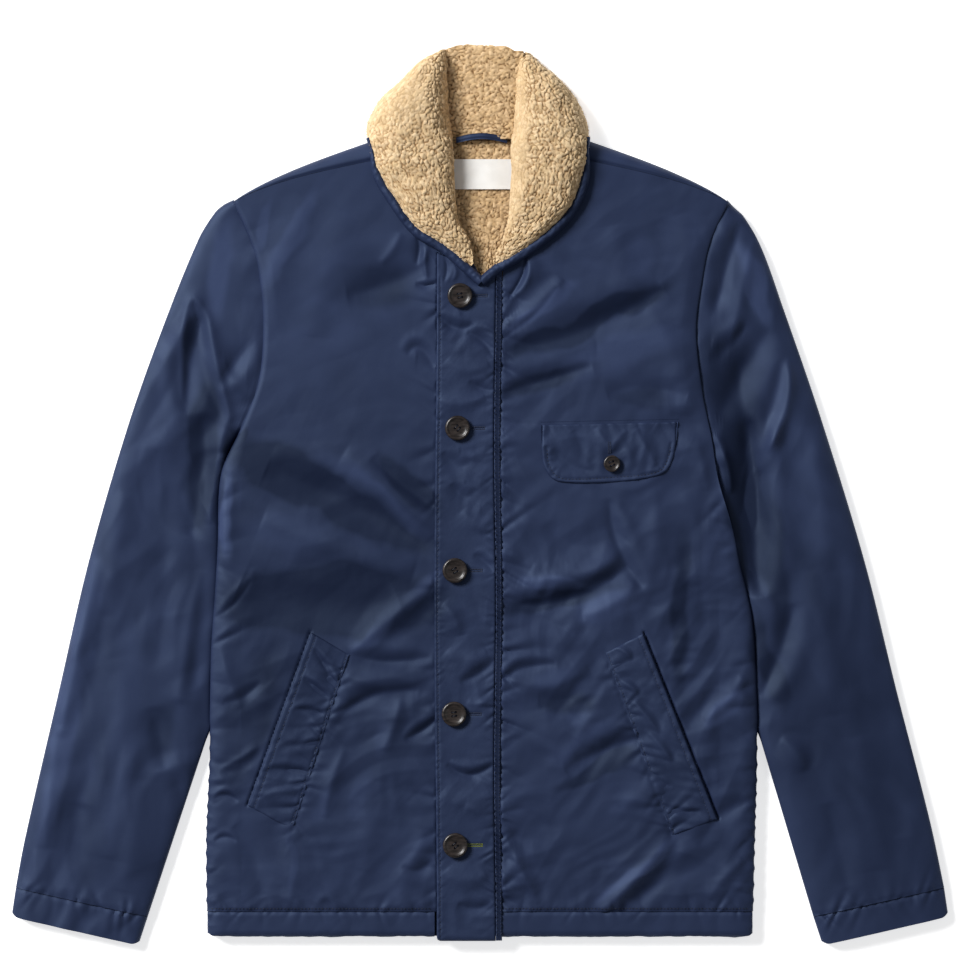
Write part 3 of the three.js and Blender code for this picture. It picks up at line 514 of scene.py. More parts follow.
def painted_light_at(x, y):
    """How much painted highlight (toward 1) or painted shade (toward 0) the satin's colour takes, with
    wavering edges to its patches, painted light on random facets and a little random tone.
    """
    u = x + 7 * noise(x, y, 38, 301) + 1.5 * noise(x, y, 11, 304)
    v = y + 7 * noise(x, y, 38, 302) + 1.5 * noise(x, y, 11, 305)
    total = 0.12 * noise(x, y, 60, 303)
    for px, py, length, width, degrees, strength in PAINTED_LIGHT_PATCHES:
        turn = math.radians(degrees)
        along = ((u - px) * math.cos(turn) + (v - py) * math.sin(turn)) / length
        across = ((v - py) * math.cos(turn) - (u - px) * math.sin(turn)) / width
        total = total + strength * smooth(1.75 - 1.25 * np.hypot(along, across))
    # Painted light and shade on random facets of the satin
    painted_facets = np.where(np.abs(x) > 215, crumple(x, y, 40, 306, 1.5), crumple(x, y, 40, 307, 0.4, 0.9))
    return clamp(0.45 + 0.42 * total + 0.1 * painted_facets)


def body_top(x, y):
    """The plain outer face of the fronts: rolled at the side seams, dipped at the armholes."""
    armpit = np.where(x < 0, ARMPIT_Y["right"], ARMPIT_Y["left"])
    inside = body_side(x, y) - np.abs(x)
    armhole = clamp((y - armpit) / 40)
    stands = np.where(x < 0, 0, np.exp(-(((y - 400) / 60) ** 2)))
    edge_top = mix(SIDE_SEAM_TOP, np.where(x < 0, 12.4, 14.6), armhole)
    edge_top = mix(edge_top, FRONT_TOP + 0.8, stands)
    crown = BODY_PUFF * smooth(inside / 110) * smooth((y - HEM_DEPTH) / 80)
    reach = mix(mix(SIDE_ROLL, np.where(x < 0, 6, ARMHOLE_ROLL), armhole), 4, stands)
    return mix(edge_top, FRONT_TOP + crown, roll(inside, reach))


def side_line(side, low, high, steps=40):
    """The side seam or armhole seam between two heights, as a path."""
    y = np.linspace(low, high, steps)
    return np.stack([SIDES[side] * edge_x(side, y), y], 1)


def placket_edge(y):
    """The placket's free edge, which waves a little from top to foot."""
    return PLACKET_LEFT + SEAM_GAP + 1.2 * np.cos(2 * math.pi * y / PLACKET_TOP)


def placket_head(x):
    """The top of the placket, which ends under the rims of the collar."""
    return read((-41, -25, -9, 0, 9, 24), (616, 609, 599, 590, 598, 606), x)


def placket_seam(y):
    """The seam that joins the placket to its strip."""
    return PLACKET_RIGHT - 1 + 1.6 * np.cos(2 * math.pi * y / PLACKET_TOP) ** 2


def upright(x_at, low, high, steps=60):
    """A path up the front whose X is worked out from its height."""
    y = np.linspace(low, high, steps)
    return np.stack([x_at(y) * np.ones(steps), y], 1)


HEM_LINE = curve((-250, HEM_DEPTH), (250, HEM_DEPTH), steps=40)
STRIP_LINE = upright(lambda y: placket_seam(y) + STRIP_WIDTH + 0.8, -3, PLACKET_TOP)
PLACKET_LINE = upright(lambda y: placket_edge(y) - 0.6, -3, PLACKET_TOP)

# The corners of the hand pocket welts
WELTS = {
    "right": {"top_outer": (-152, 274), "bottom_outer": (-209, 118),
              "top_inner": (-118, 254), "bottom_inner": (-169, 96)},
    "left": {"top_outer": (146, 273), "bottom_outer": (213, 106),
             "top_inner": (112, 256), "bottom_inner": (172, 91)},
}


def welt_path(side, name):
    """The outer or the inner edge of a welt, from its bottom to its top."""
    return curve(WELTS[side][f"bottom_{name}"], WELTS[side][f"top_{name}"], steps=20)


def slit_path(side):
    """The opening of a hand pocket, just outside its welt's edge."""
    corner = WELTS[side]
    across = np.subtract(corner["top_outer"], corner["top_inner"])
    off = 1.3 * across / np.hypot(*across)
    return curve(np.add(corner["bottom_outer"], off), np.add(corner["top_outer"], off), steps=20)


# How deep the front sinks along the opening of each hand pocket
SLIT_DEPTH = {"right": 1.8, "left": 3.2}

# Where the fronts pucker: the seam, and the pitch, reach, rise, seed and sides of its puckers
FRONT_PUCKERS = (
    (STRIP_LINE, 21, 30, 2.6, 21, (-1,)),
    (STRIP_LINE, 8, 12, 1.2, 22, (-1,)),
    (PLACKET_LINE, 19, 24, 1.6, 23, (1,)),
    (HEM_LINE, 17, 20, 1.3, 24, (1,)),
    (HEM_LINE, 7, 6, 0.6, 25, (1,)),
)


def front_relief(x, y):
    """What the folds, seams and small puckers add to the plain face of the fronts."""
    height = creases(x, y, FRONT_CREASES)
    busy = mix(1, 0.3, smooth((y - 400) / 140)) * np.where(x < 0, mix(0.8, 0.3, smooth((y - 220) / 80)), 1)
    height += 0.45 * wrinkles(x, y, 11, turn=0.5)
    height += busy * (1.6 * crumple(x, y, 46, 12, 0.35) + 0.5 * crumple(x, y, 24, 13, 0.5, 1.0))
    for row in FRONT_PUCKERS:
        height += puckers(x, y, *row)
    for k, side in enumerate(SIDES):
        seam = side_line(side, 0, ARMPIT_Y[side])
        height += puckers(x, y, seam, 20, 26, 2.0, 31 + k)
        height += puckers(x, y, seam, 9, 9, 0.8, 35 + k)
        armhole = side_line(side, ARMPIT_Y[side], SHOULDER_TIP[1])
        height += puckers(x, y, armhole, 26, 20, 0.8, 33 + k)
        height += puckers(x, y, welt_path(side, "inner"), 12, 15, 1.5, 41 + k)
        height += valley(welt_path(side, "inner"), x, y, 0.5, 2)
        height += valley(slit_path(side), x, y, SLIT_DEPTH[side], 1.0)
    height += valley(curve((20, 461.7), (55, 461.7)), x, y, 0.5, 1.0)
    height += valley(HEM_LINE, x, y, 1.2, 2.2)
    height += valley(STRIP_LINE, x, y, 0.5, 1.5)
    return height


def front_top(x, y):
    """The outer face of the fronts with all its folds, kept a cloth's thickness over its base."""
    inside = body_side(x, y) - np.abs(x)
    fade = mix(0.25, 1, smooth(inside / 14))
    return np.maximum(body_top(x, y) + front_relief(x, y) * fade, FRONT_BASE + 1.6)


def eased(count, crowd=0.5):
    """Shares from 0 to 1, closer together at both ends."""
    t = np.linspace(0, 1, count)
    return mix(t, 0.5 - 0.5 * np.cos(math.pi * t), crowd)


def between(first, last, shares):
    """Rows of plan points from one line of points to another."""
    return first[:, None, :] + (last - first)[:, None, :] * np.asarray(shares)[None, :, None]


def quads(index):
    """The faces between neighbours in a grid of vertex numbers."""
    corners = (index[:-1, :-1], index[:-1, 1:], index[1:, 1:], index[1:, :-1])
    return np.stack(corners, -1).reshape(-1, 4).tolist()


def loop_round(index):
    """The border of a grid of vertex numbers, in order."""
    return np.concatenate([index[0, :-1], index[:-1, -1], index[-1, :0:-1], index[:0:-1, 0]])


# How many steps of a fine grid one step of a rough grid takes
COARSE = 4


def join_loops(fine, rough):
    """Triangles between a fine loop of vertices and a rough one with one for every few of the fine."""
    faces = []
    for k, a in enumerate(rough):
        b = rough[(k + 1) % len(rough)]
        step = [fine[(k * COARSE + j) % len(fine)] for j in range(COARSE + 1)]
        faces += [(step[j], step[j + 1], a if j < COARSE // 2 else b) for j in range(COARSE)]
        faces.append((step[COARSE // 2], b, a))
    return faces


def keep_values(mesh, name, values):
    """Keeps a value for each vertex of a mesh, for its material to read."""
    layer = mesh.attributes.new(name, "FLOAT", "POINT")
    layer.data.foreach_set("value", np.asarray(values, np.float32))


def placed(name, data):
    """A new object in the scene, made from a mesh, a lamp or a camera."""
    made = bpy.data.objects.new(name, data)
    bpy.context.scene.collection.objects.link(made)
    return made


def new_piece(name, points, faces, material, slot, nodes=(), sharp=50):
    """A mesh object from garment points, with its faces turned out, on the jacket's one body."""
    mesh = bpy.data.meshes.new(name)
    mesh.from_pydata(to_frame(points).tolist(), [], faces)
    work = bmesh.new()
    work.from_mesh(mesh)
    bmesh.ops.recalc_face_normals(work, faces=work.faces)
    work.to_mesh(mesh)
    work.free()
    mesh.polygons.foreach_set("use_smooth", [True] * len(mesh.polygons))
    if sharp:
        mesh.set_sharp_from_angle(angle=math.radians(sharp))
    mesh.materials.append(material)
    # Satin pieces keep their painted highlight and painted shade, for the material's colour
    if material in (SHELL, TRIM):
        points = np.asarray(points, float)
        keep_values(mesh, "painted_light", painted_light_at(points[:, 0], points[:, 1]))
    piece = placed(name, mesh)
    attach(piece, "root")
    if nodes:
        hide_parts(*nodes)
    return piece


def slab_mesh(fine_face, rough_face):
    """Points and faces of a closed slab: a fine face, and a rough one with every fourth point."""
    rows, columns = fine_face.shape[:2]
    fine = np.arange(rows * columns).reshape(rows, columns)
    rough_points = rough_face[::COARSE, ::COARSE]
    rough = rows * columns + np.arange(rough_points.size // 3).reshape(rough_points.shape[:2])
    points = np.concatenate([fine_face.reshape(-1, 3), rough_points.reshape(-1, 3)])
    faces = quads(fine) + quads(rough) + join_loops(loop_round(fine), loop_round(rough))
    return points, faces


def joined(meshes):
    """Several lists of points and faces as one."""
    points, faces, count = [], [], 0
    for some_points, some_faces in meshes:
        points.append(some_points)
        faces += [tuple(k + count for k in face) for face in some_faces]
        count += len(some_points)
    return np.concatenate(points), faces


def lifted(plan, height):
    """A grid of plan points with a height for each."""
    return np.dstack([plan, np.broadcast_to(height, plan.shape[:2])])


def cloth(name, plan, top, bottom, material, node, slot="shell", fine="top"):
    """A closed cloth piece over a plan, with its fine face up or down."""
    upper, lower = lifted(plan, top), lifted(plan, bottom)
    points, faces = slab_mesh(upper, lower) if fine == "top" else slab_mesh(lower, upper)
    piece = new_piece(name, points, faces, material, slot, [node])


# Materials


def material_of(name):
    """A new material: the material, its shader, a helper that adds a node and links its inputs, one
    that links into the shader, and the place on the object, for textures to use."""
    made = bpy.data.materials.new(name)
    made.use_nodes = True
    tree = made.node_tree
    shader = tree.nodes["Principled BSDF"]

    def add(kind, links=(), **values):
        node = tree.nodes.new(kind)
        for key, value in values.items():
            if key.startswith("in_"):
                node.inputs[key[3:].replace("_", " ")].default_value = value
            else:
                setattr(node, key, value)
        for socket, source in links:
            tree.links.new(source, node.inputs[socket])
        return node

    def link(source, socket):
        tree.links.new(source, shader.inputs[socket])

    return made, shader, add, link, add("ShaderNodeTexCoord").outputs["Object"]


def set_shader(shader, **values):
    """Sets inputs of a shader by their names, with underscores for spaces."""
    for key, value in values.items():
        shader.inputs[key.replace("_", " ")].default_value = value


def blend_colour(add, factor, first, second):
    """The output of a new node that goes from one colour to another."""
    node = add("ShaderNodeMix", data_type="RGBA")
    node.inputs[6].default_value = (*first, 1)
    node.inputs[7].default_value = (*second, 1)
    node.id_data.links.new(factor, node.inputs[0])
    return node.outputs[2]


def ramp(add, source, low, high):
    """The output of a new node that stretches a range of values to 0 to 1."""
    node = add("ShaderNodeMapRange", [("Value", source)], in_From_Min=low, in_From_Max=high)
    return node.outputs["Result"]


def nylon(name, dark, light, roughness=0.62, crinkle=0.1):
    """Satin-faced nylon: a base colour from painted shade (dark) to painted highlight (light), picked by
    the painted light kept on the mesh and random tone, a fine weave and a broad blue gloss.
    """
    made, shader, add, link, place = material_of(name)
    cloud = add("ShaderNodeTexNoise", [("Vector", place)], in_Scale=22, in_Detail=4, in_Roughness=0.6)
    # The painted highlight and shade kept on the mesh, with random tone added, picks the base colour
    painted_light = add("ShaderNodeAttribute", attribute_name="painted_light").outputs["Fac"]
    uneven = add("ShaderNodeMath", [(0, cloud.outputs["Fac"]), (2, painted_light)], operation="MULTIPLY_ADD")
    uneven.inputs[1].default_value = 0.3
    link(blend_colour(add, ramp(add, uneven.outputs[0], 0.15, 1.15), dark, light), "Base Color")
    patch = add("ShaderNodeTexNoise", [("Vector", place)], in_Scale=38, in_Detail=3)
    gloss = add("ShaderNodeMapRange", [("Value", patch.outputs["Fac"])],
                in_To_Min=roughness - 0.05, in_To_Max=roughness + 0.06)
    link(gloss.outputs["Result"], "Roughness")
    weave_x = add("ShaderNodeTexWave", [("Vector", place)], bands_direction="X", in_Scale=420)
    weave_y = add("ShaderNodeTexWave", [("Vector", place)], bands_direction="Y", in_Scale=420)
    weave = add("ShaderNodeMath", [(0, weave_x.outputs["Fac"]), (1, weave_y.outputs["Fac"])],
                operation="MULTIPLY")
    fine = add("ShaderNodeBump", [("Height", weave.outputs[0])], in_Strength=0.18, in_Distance=0.00012)
    small = add("ShaderNodeTexNoise", [("Vector", place)], in_Scale=120, in_Detail=3)
    bump = add("ShaderNodeBump", [("Height", small.outputs["Fac"]), ("Normal", fine.outputs[0])],
               in_Strength=crinkle, in_Distance=0.001)
    link(bump.outputs[0], "Normal")
    set_shader(shader, Specular_IOR_Level=0.52, Specular_Tint=(0.52, 0.70, 1.0, 1))
    return made


def pile(name, painted_crevice_shade, pale):
    """Curly pile: painted shade deeper in its curls, random tone by curl, and a fine woolly bump."""
    made, shader, add, link, place = material_of(name)
    depth = add("ShaderNodeAttribute", attribute_name="pile_height").outputs["Fac"]
    tint = add("ShaderNodeAttribute", attribute_name="pile_tint").outputs["Fac"]
    hair = add("ShaderNodeTexNoise", [("Vector", place)], in_Scale=900, in_Detail=4, in_Roughness=0.7)
    lit = add("ShaderNodeMath", [(0, hair.outputs["Fac"]), (2, depth)], operation="MULTIPLY_ADD")
    lit.inputs[1].default_value = 0.5
    # Low in the curls the colour goes to the painted crevice shade
    base = blend_colour(add, ramp(add, lit.outputs[0], 0.5, 1.2), painted_crevice_shade, pale)
    shade = add("ShaderNodeMix", [(0, tint), (6, base)], data_type="RGBA", blend_type="MULTIPLY")
    shade.inputs[7].default_value = (0.82, 0.78, 0.7, 1)
    link(shade.outputs[2], "Base Color")
    bump = add("ShaderNodeBump", [("Height", hair.outputs["Fac"])], in_Strength=0.4, in_Distance=0.0010)
    link(bump.outputs[0], "Normal")
    set_shader(shader, Roughness=0.95, Specular_IOR_Level=0.15, Sheen_Weight=0.35,
               Sheen_Roughness=0.5, Sheen_Tint=(1.0, 0.86, 0.64, 1))
    return made


def thread(name, dark, light):
    """Sewing thread: two tones along its twist and a soft gloss."""
    made, shader, add, link, place = material_of(name)
    twist = add("ShaderNodeTexNoise", [("Vector", place)], in_Scale=1500, in_Detail=2)
    link(blend_colour(add, ramp(add, twist.outputs["Fac"], 0.3, 0.7), dark, light), "Base Color")
    set_shader(shader, Roughness=0.55)
    return made


def horn(name):
    """Dark brown polished buttons with faint streaks."""
    made, _, add, link, place = material_of(name)
    stretched = add("ShaderNodeMapping", [("Vector", place)])
    stretched.inputs["Scale"].default_value = (1, 3.2, 1)
    streak = add("ShaderNodeTexNoise", [("Vector", stretched.outputs[0])], in_Scale=160, in_Detail=4)
    link(blend_colour(add, ramp(add, streak.outputs["Fac"], 0.35, 0.7),
                      (0.010, 0.0076, 0.0068), (0.038, 0.028, 0.025)), "Base Color")
    rough = add("ShaderNodeMapRange", [("Value", streak.outputs["Fac"])], in_To_Min=0.24, in_To_Max=0.42)
    link(rough.outputs["Result"], "Roughness")
    return made


def label_cloth(name):
    """Off-white cotton tape with a fine weave."""
    made, shader, add, link, place = material_of(name)
    mottle = add("ShaderNodeTexNoise", [("Vector", place)], in_Scale=120, in_Detail=3)
    link(blend_colour(add, mottle.outputs["Fac"], (0.86, 0.84, 0.80), (0.98, 0.97, 0.94)), "Base Color")
    weave = add("ShaderNodeTexWave", [("Vector", place)], bands_direction="Y", in_Scale=500)
    bump = add("ShaderNodeBump", [("Height", weave.outputs["Fac"])], in_Strength=0.3, in_Distance=0.0003)
    link(bump.outputs[0], "Normal")
    set_shader(shader, Roughness=0.85)
    return made


def pale_floor(name):
    """A pale floor that glows a little, so that it stays near white under soft light."""
    made, shader, add, link, place = material_of(name)
    faint = add("ShaderNodeTexNoise", [("Vector", place)], in_Scale=3)
    link(blend_colour(add, faint.outputs["Fac"], (0.90, 0.90, 0.90), (0.93, 0.93, 0.93)), "Base Color")
    set_shader(shader, Roughness=0.9, Specular_IOR_Level=0.0, Emission_Color=(1, 1, 1, 1),
               Emission_Strength=0.64)
    return made


# For the satin, the first colour is its painted shade and the second its painted highlight
SHELL = nylon("navy_nylon", (0.0024, 0.0052, 0.025), (0.0300, 0.044, 0.108))
TRIM = nylon("navy_nylon_trim", (0.0024, 0.0052, 0.025), (0.0290, 0.043, 0.105), 0.63, 0.3)
# The first colour of each pile is painted shade for the depths of its curls
PILE = pile("tan_pile", (0.31, 0.160, 0.060), (0.90, 0.68, 0.42))
# A darker copy of the pile: painted shade for the pile that lies low between the collar halves and at the
# neck
SHADED_PILE = pile("shaded_tan_pile", (0.20, 0.095, 0.030), (0.80, 0.57, 0.33))
THREAD = thread("navy_thread", (0.008, 0.013, 0.035), (0.03, 0.045, 0.1))
DARK_THREAD = thread("dark_thread", (0.002, 0.003, 0.009), (0.006, 0.009, 0.024))
HORN = horn("dark_horn")
LABEL = label_cloth("label_cotton")
LOOSE_THREAD = thread("green_thread", (0.10, 0.13, 0.01), (0.30, 0.34, 0.05))


# Body


def shoulder_bow(s):
    """How far the shoulder line bows up over a straight line from its tip (0) to the neck (1)."""
    return 5.2 * np.sin(math.pi * s**0.7)


def front_plan(side, rows, columns):
    """A front from its side seam and armhole to its front edge and neckline."""
    side_y = mix(HEM_DEPTH, SHOULDER_TIP[1], eased(rows, 0.25))
    table = FRONT_EDGE[side]
    bow = clamp((side_y - 560) / (SHOULDER_TIP[1] - 560)) ** 2
    seam_x = SIDES[side] * (edge_x(side, side_y) - SEAM_GAP / 2)
    first = np.stack([seam_x, side_y], 1)
    last = np.stack([read(table["side_y"], table[axis], side_y) for axis in "xy"], 1)
    if side == "left":
        strip_side = placket_seam(last[:, 1]) + STRIP_WIDTH + SEAM_GAP / 2
        last[:, 0] = np.where(side_y < 540, strip_side, last[:, 0])
    shares = eased(columns, 0.55)
    plan = between(first, last, shares)
    plan[..., 1] += shoulder_bow(shares)[None, :] * bow[:, None]
    return plan


def fronts():
    """The two fronts. The right one sinks where it runs on under the placket."""
    for side in SIDES:
        plan = front_plan(side, 413, 189)
        x, y = plan[..., 0], plan[..., 1]
        top = front_top(x, y)
        if side == "right":
            under = smooth((x - PLACKET_LEFT - 1.4) / 2.2) * (y < placket_head(x))
            top = mix(top, FRONT_BASE + 3.6, under)
        cloth(f"{side}_front_cloth", plan, top, FRONT_BASE, SHELL, f"{side}_front")


def shoulder_fold(side, s):
    """The seam and the outer fold line of a shoulder, where the back rolls over to the front."""
    x = mix(SHOULDER_TIP[0], NECK_POINT[0], s)
    seam_y = mix(SHOULDER_TIP[1], NECK_POINT[1], s) + shoulder_bow(s)
    return SIDES[side] * x, seam_y, seam_y + mix(0.9, 19, s)


def back():
    """The back: flat on the surface, its sides turned up to the side seams."""
    high = SHOULDER_TIP[1]
    side_y = mix(HEM_DEPTH, high, eased(141, 0.3))
    first = np.stack([-edge_x("right", side_y) + SEAM_GAP / 2, side_y], 1)
    last = np.stack([edge_x("left", side_y) - SEAM_GAP / 2, side_y], 1)
    plan = between(first, last, eased(113, 0.6))
    x, y = plan[..., 0], plan[..., 1]
    slope = (BACK_NECK_Y - high) * clamp((SHOULDER_TIP[0] - 4 - np.abs(x)) / 112)
    plan[..., 1] += slope * clamp((y - 550) / (high - 550))
    inside = body_side(x, np.minimum(y, high)) - np.abs(x) - SEAM_GAP / 2
    bottom = BACK_EDGE_RISE * (1 - roll(inside, 8))
    pressed = 0.55 * wrinkles(x, y, 71, turn=1.2) + creases(x, y, BACK_CREASES)
    pressed += puckers(x, y, HEM_LINE, 15, 16, 0.8, 72, sides=(1,))
    bottom = bottom + clamp(0.5 - pressed, 0, 2.6) + 1.2 * np.exp(-(((y - HEM_DEPTH) / 3) ** 2))
    meshes = [slab_mesh(lifted(plan, bottom), lifted(plan, BODY_WALL))]
    meshes += [shoulder_mesh(side) for side in SIDES]
    piece = new_piece("back_cloth", *joined(meshes), SHELL, "shell", ["back_panel"])


# Folds of the back, pressed flat against the surface it lies on
BACK_CREASES = [
    (-200, 560, -90, 480, 30, 470, -2.0, 8, 0),
    (210, 540, 120, 500, 40, 520, -1.8, 7, 0),
    (-220, 380, -120, 350, -30, 380, -1.8, 9, 0),
    (226, 330, 150, 300, 60, 330, -2.0, 8, 0),
    (-190, 220, -120, 160, -100, 80, -1.7, 7, 0),
    (180, 200, 130, 130, 120, 50, -1.7, 8, 0),
    (-40, 660, -10, 600, -30, 540, -1.4, 7, 0),
    (60, 250, 0, 210, -50, 230, -1.3, 6, 0),
]


def shoulder_mesh(side):
    """The strip of the back that rolls over a shoulder and ends at the shoulder seam."""
    s = eased(129, 0.2)
    x, seam_y, fold_y = shoulder_fold(side, s)
    turn = np.linspace(0, 1, 25)
    first = np.stack([x, seam_y + SEAM_GAP], 1)
    last = np.stack([x, fold_y], 1)
    plan = between(first, last, turn)
    rolled = roll(1 - turn, 1)[None, :] * np.ones((len(s), 1))
    gap = smooth(s[:, None] / 0.12)
    height = 6.5 + 11.2 * rolled * mix(0.62, 1, gap)
    px, py = plan[..., 0], plan[..., 1]
    height = height + 0.5 * wrinkles(px, py, 81, turn=0.9) * rolled
    height = height - 1.4 * np.exp(-((turn[None, :] * (fold_y - seam_y)[:, None] / 2.2) ** 2))
    bottom = 6.2 - 5.2 * rolled * gap
    return slab_mesh(lifted(plan, height), lifted(plan, bottom))


def hem_plan(x1, x2, columns):
    """A hem band between two places, uneven along its foot and rounded at its ends."""
    x = np.linspace(x1, x2, columns)
    foot = 0.9 * noise(x, x * 0, 17, 51) + 0.4 * noise(x, x * 0, 6, 52)
    foot += 3 * (1 - roll(244 - np.abs(x), 5))
    low = np.stack([x, foot], 1)
    high = np.stack([x, np.full(columns, HEM_DEPTH - SEAM_GAP)], 1)
    return np.swapaxes(between(low, high, eased(33, 0.6)), 0, 1)


def hem_relief(x, y, seed):
    """What the seam's puckers and small wrinkles add to the face of a hem band."""
    line = HEM_LINE - (0, SEAM_GAP)
    height = puckers(x, y, line, 14, 13, 0.9, seed, sides=(-1,))
    height += 0.35 * wrinkles(x, y, seed + 1, turn=1.3, size=22)
    return height + valley(line, x, y, 0.9, 2)


def hems():
    """The stitched bands at the foot of the fronts and of the back."""
    spans = {"right": (-edge_x("right", 0) + 1, PLACKET_LEFT - SEAM_GAP),
             "left": (PLACKET_RIGHT + STRIP_WIDTH + 1.2, edge_x("left", 0) - 1)}
    for k, (side, (x1, x2)) in enumerate(spans.items()):
        plan = hem_plan(x1, x2, 161)
        x, y = plan[..., 0], plan[..., 1]
        inside = edge_x(side, y) - np.abs(x)
        height = FRONT_BASE + 7.4 - 4.2 * (1 - roll(y + 0.3, 7))
        height = mix(SIDE_SEAM_TOP, height, roll(inside, SIDE_ROLL)) + hem_relief(x, y, 55 + 3 * k)
        cloth(f"{side}_hem_cloth", plan, height, FRONT_BASE, SHELL, f"{side}_hem")
    plan = hem_plan(-edge_x("right", 0) + 1, edge_x("left", 0) - 1, 241)
    x, y = plan[..., 0], plan[..., 1]
    inside = body_side(x, y) - np.abs(x)
    rise = np.maximum(BACK_EDGE_RISE * (1 - roll(inside, 8)), 2.4 * (1 - roll(y + 0.3, 6)))
    under = clamp(0.2 - hem_relief(x, y, 61), 0, 1.6)
    cloth("back_hem_cloth", plan, BODY_WALL, rise + under, SHELL, "back_hem", fine="bottom")


def placket_height(x, y):
    """The plain face of the placket."""
    return body_top(x, y) + PLACKET_RISE


def placket_relief(x, y):
    """The placket's folds, its seams, and the dips round its buttons and buttonholes."""
    height = creases(x, y, PLACKET_CREASES) + 0.3 * wrinkles(x, y, 91, turn=0.2, size=26)
    inner = upright(lambda h: placket_seam(h), PLACKET_FOOT, PLACKET_TOP)
    outer = upright(lambda h: placket_edge(h) + 3.2, PLACKET_FOOT, PLACKET_TOP)
    height += 0.55 * crumple(x, y, 20, 94, 0.3, 1.0)
    height += puckers(x, y, inner, 9, 13, 1.1, 92, sides=(1,))
    height += puckers(x, y, outer, 7.5, 6, 0.6, 93)
    height += valley(outer, x, y, 0.4, 1.0) + valley(inner, x, y, 0.5, 1.2)
    for bx, by in FRONT_BUTTONS:
        away = np.hypot(x - bx, (y - by) * 1.1)
        height += 1.1 * (1 - np.exp(-((away / 15) ** 2))) - 1.1
        slit = curve((bx + 8, by), (bx + 24, by), steps=2)
        height += valley(slit, x, y, 0.8, 1.6)
    return height


def placket():
    """The buttoned band of the left front."""
    y = mix(PLACKET_FOOT, PLACKET_TOP, eased(501, 0.1))
    first = np.stack([placket_edge(y), y], 1)
    last = np.stack([placket_seam(y), y], 1)
    first[:, 0] += 2.6 * (1 - roll(y - PLACKET_FOOT, 4))
    plan = between(first, last, eased(57, 0.5))
    x, y = plan[..., 0], plan[..., 1]
    y += (placket_head(x) - PLACKET_TOP) * smooth((y - 540) / 53)
    drop = 1.6 * (1 - roll(x - first[:, :1], 1.8)) + 2.2 * (1 - roll(y - PLACKET_FOOT, 5))
    drop = drop + 1.0 * (1 - roll(last[:, :1] - x, 1.2))
    cloth("placket_cloth", plan, placket_top(x, y) - drop, FRONT_BASE + 4.4, TRIM, "placket_band")


def placket_strip():
    """The narrow doubled strip that joins the placket to the left front."""
    width = STRIP_WIDTH + 0.4
    y = np.linspace(PLACKET_FOOT + 0.5, PLACKET_TOP + 6, 601)
    first = np.stack([placket_seam(y) + 0.15, y], 1)
    plan = between(first, first + (width, 0), eased(17, 0.3))
    height = strip_top(plan[..., 0], plan[..., 1])
    across = clamp((plan[..., 0] - first[:, :1]) / width)
    height = height - 0.8 * (1 - roll(np.minimum(across, 1 - across) * STRIP_WIDTH, 1.1))
    cloth("placket_strip_cloth", plan, height, FRONT_BASE + 3.4, TRIM, "placket_strip")


def strip_top(x, y):
    """The face of the doubled strip, drawn into slanting ripples by its two rows of stitches."""
    across = x - placket_seam(y)
    slant = y + 0.7 * across
    ripple = np.sin(2 * math.pi * (slant / 6.4 + 0.6 * noise(slant, x * 0, 17, 95)))
    uneven = 0.5 + 0.8 * noise(slant, x * 0, 23, 96)
    fall = 1.5 * smooth(across / STRIP_WIDTH)
    return placket_height(x, y) - 0.2 - fall + 0.8 * ripple * (0.3 + uneven)


# Sleeves


# Where the sleeves part from the sides of the body
PARTING_Y = 187


def sleeve_plan(side, t, s):
    """The plan of a sleeve at shares of its length from armhole (0) to cuff (1) and of its width."""
    table = SLEEVE_EDGE[side]
    outer_y = mix(SHOULDER_TIP[1] + 3, SLEEVE_END["outer_y"], t)
    outer_x = read(table["y"], table["x"], outer_y)
    inner_y = mix(ARMPIT_Y[side], SLEEVE_END["inner_y"], t**1.5)
    beside_body = edge_x(side, np.maximum(inner_y, PARTING_Y)) + SEAM_GAP
    parted = clamp((PARTING_Y - inner_y) / (PARTING_Y - SLEEVE_END["inner_y"]))
    inner_x = mix(beside_body, SLEEVE_END["inner_x"], parted)
    y = mix(outer_y, inner_y, s)
    chord = mix(SHOULDER_TIP[0], edge_x(side, ARMPIT_Y[side]), s)
    bow = edge_x(side, mix(SHOULDER_TIP[1], ARMPIT_Y[side], s)) - chord
    x = mix(outer_x, inner_x, s) + bow * clamp(1 - t / 0.5) ** 2
    tuck = np.maximum(clamp(1 - t / 0.05), clamp((s - 0.85) / 0.15) * smooth((y - PARTING_Y + 13) / 20))
    clear = np.where(y > PARTING_Y, edge_x(side, np.minimum(y, SHOULDER_TIP[1])) - 0.9, 0)
    return np.stack([SIDES[side] * np.maximum(x - 1.4 * tuck, clear), y], -1)


def cuff_plan(side, t, s):
    """The plan of a cuff, which goes on from the end of its sleeve and has rounded corners."""
    corner = 3.5 * clamp(1 - np.minimum(s, 1 - s) / 0.06) ** 2
    fall = mix(SEAM_GAP, CUFF_DEPTH - corner, t)
    end = sleeve_plan(side, np.ones_like(s), s)
    return end + np.stack([SIDES[side] * fall * mix(0.15, 0.33, s), -fall], -1)


# The least height of a sleeve's upper face, and the points round its upper and its lower face
LEAST_HEIGHT = 3.6
UPPER_COUNT = 66
LOWER_COUNT = 34


def closed(index):
    """A grid of vertex numbers that goes round, with its first column again at its end."""
    return np.concatenate([index, index[:, :1]], 1)


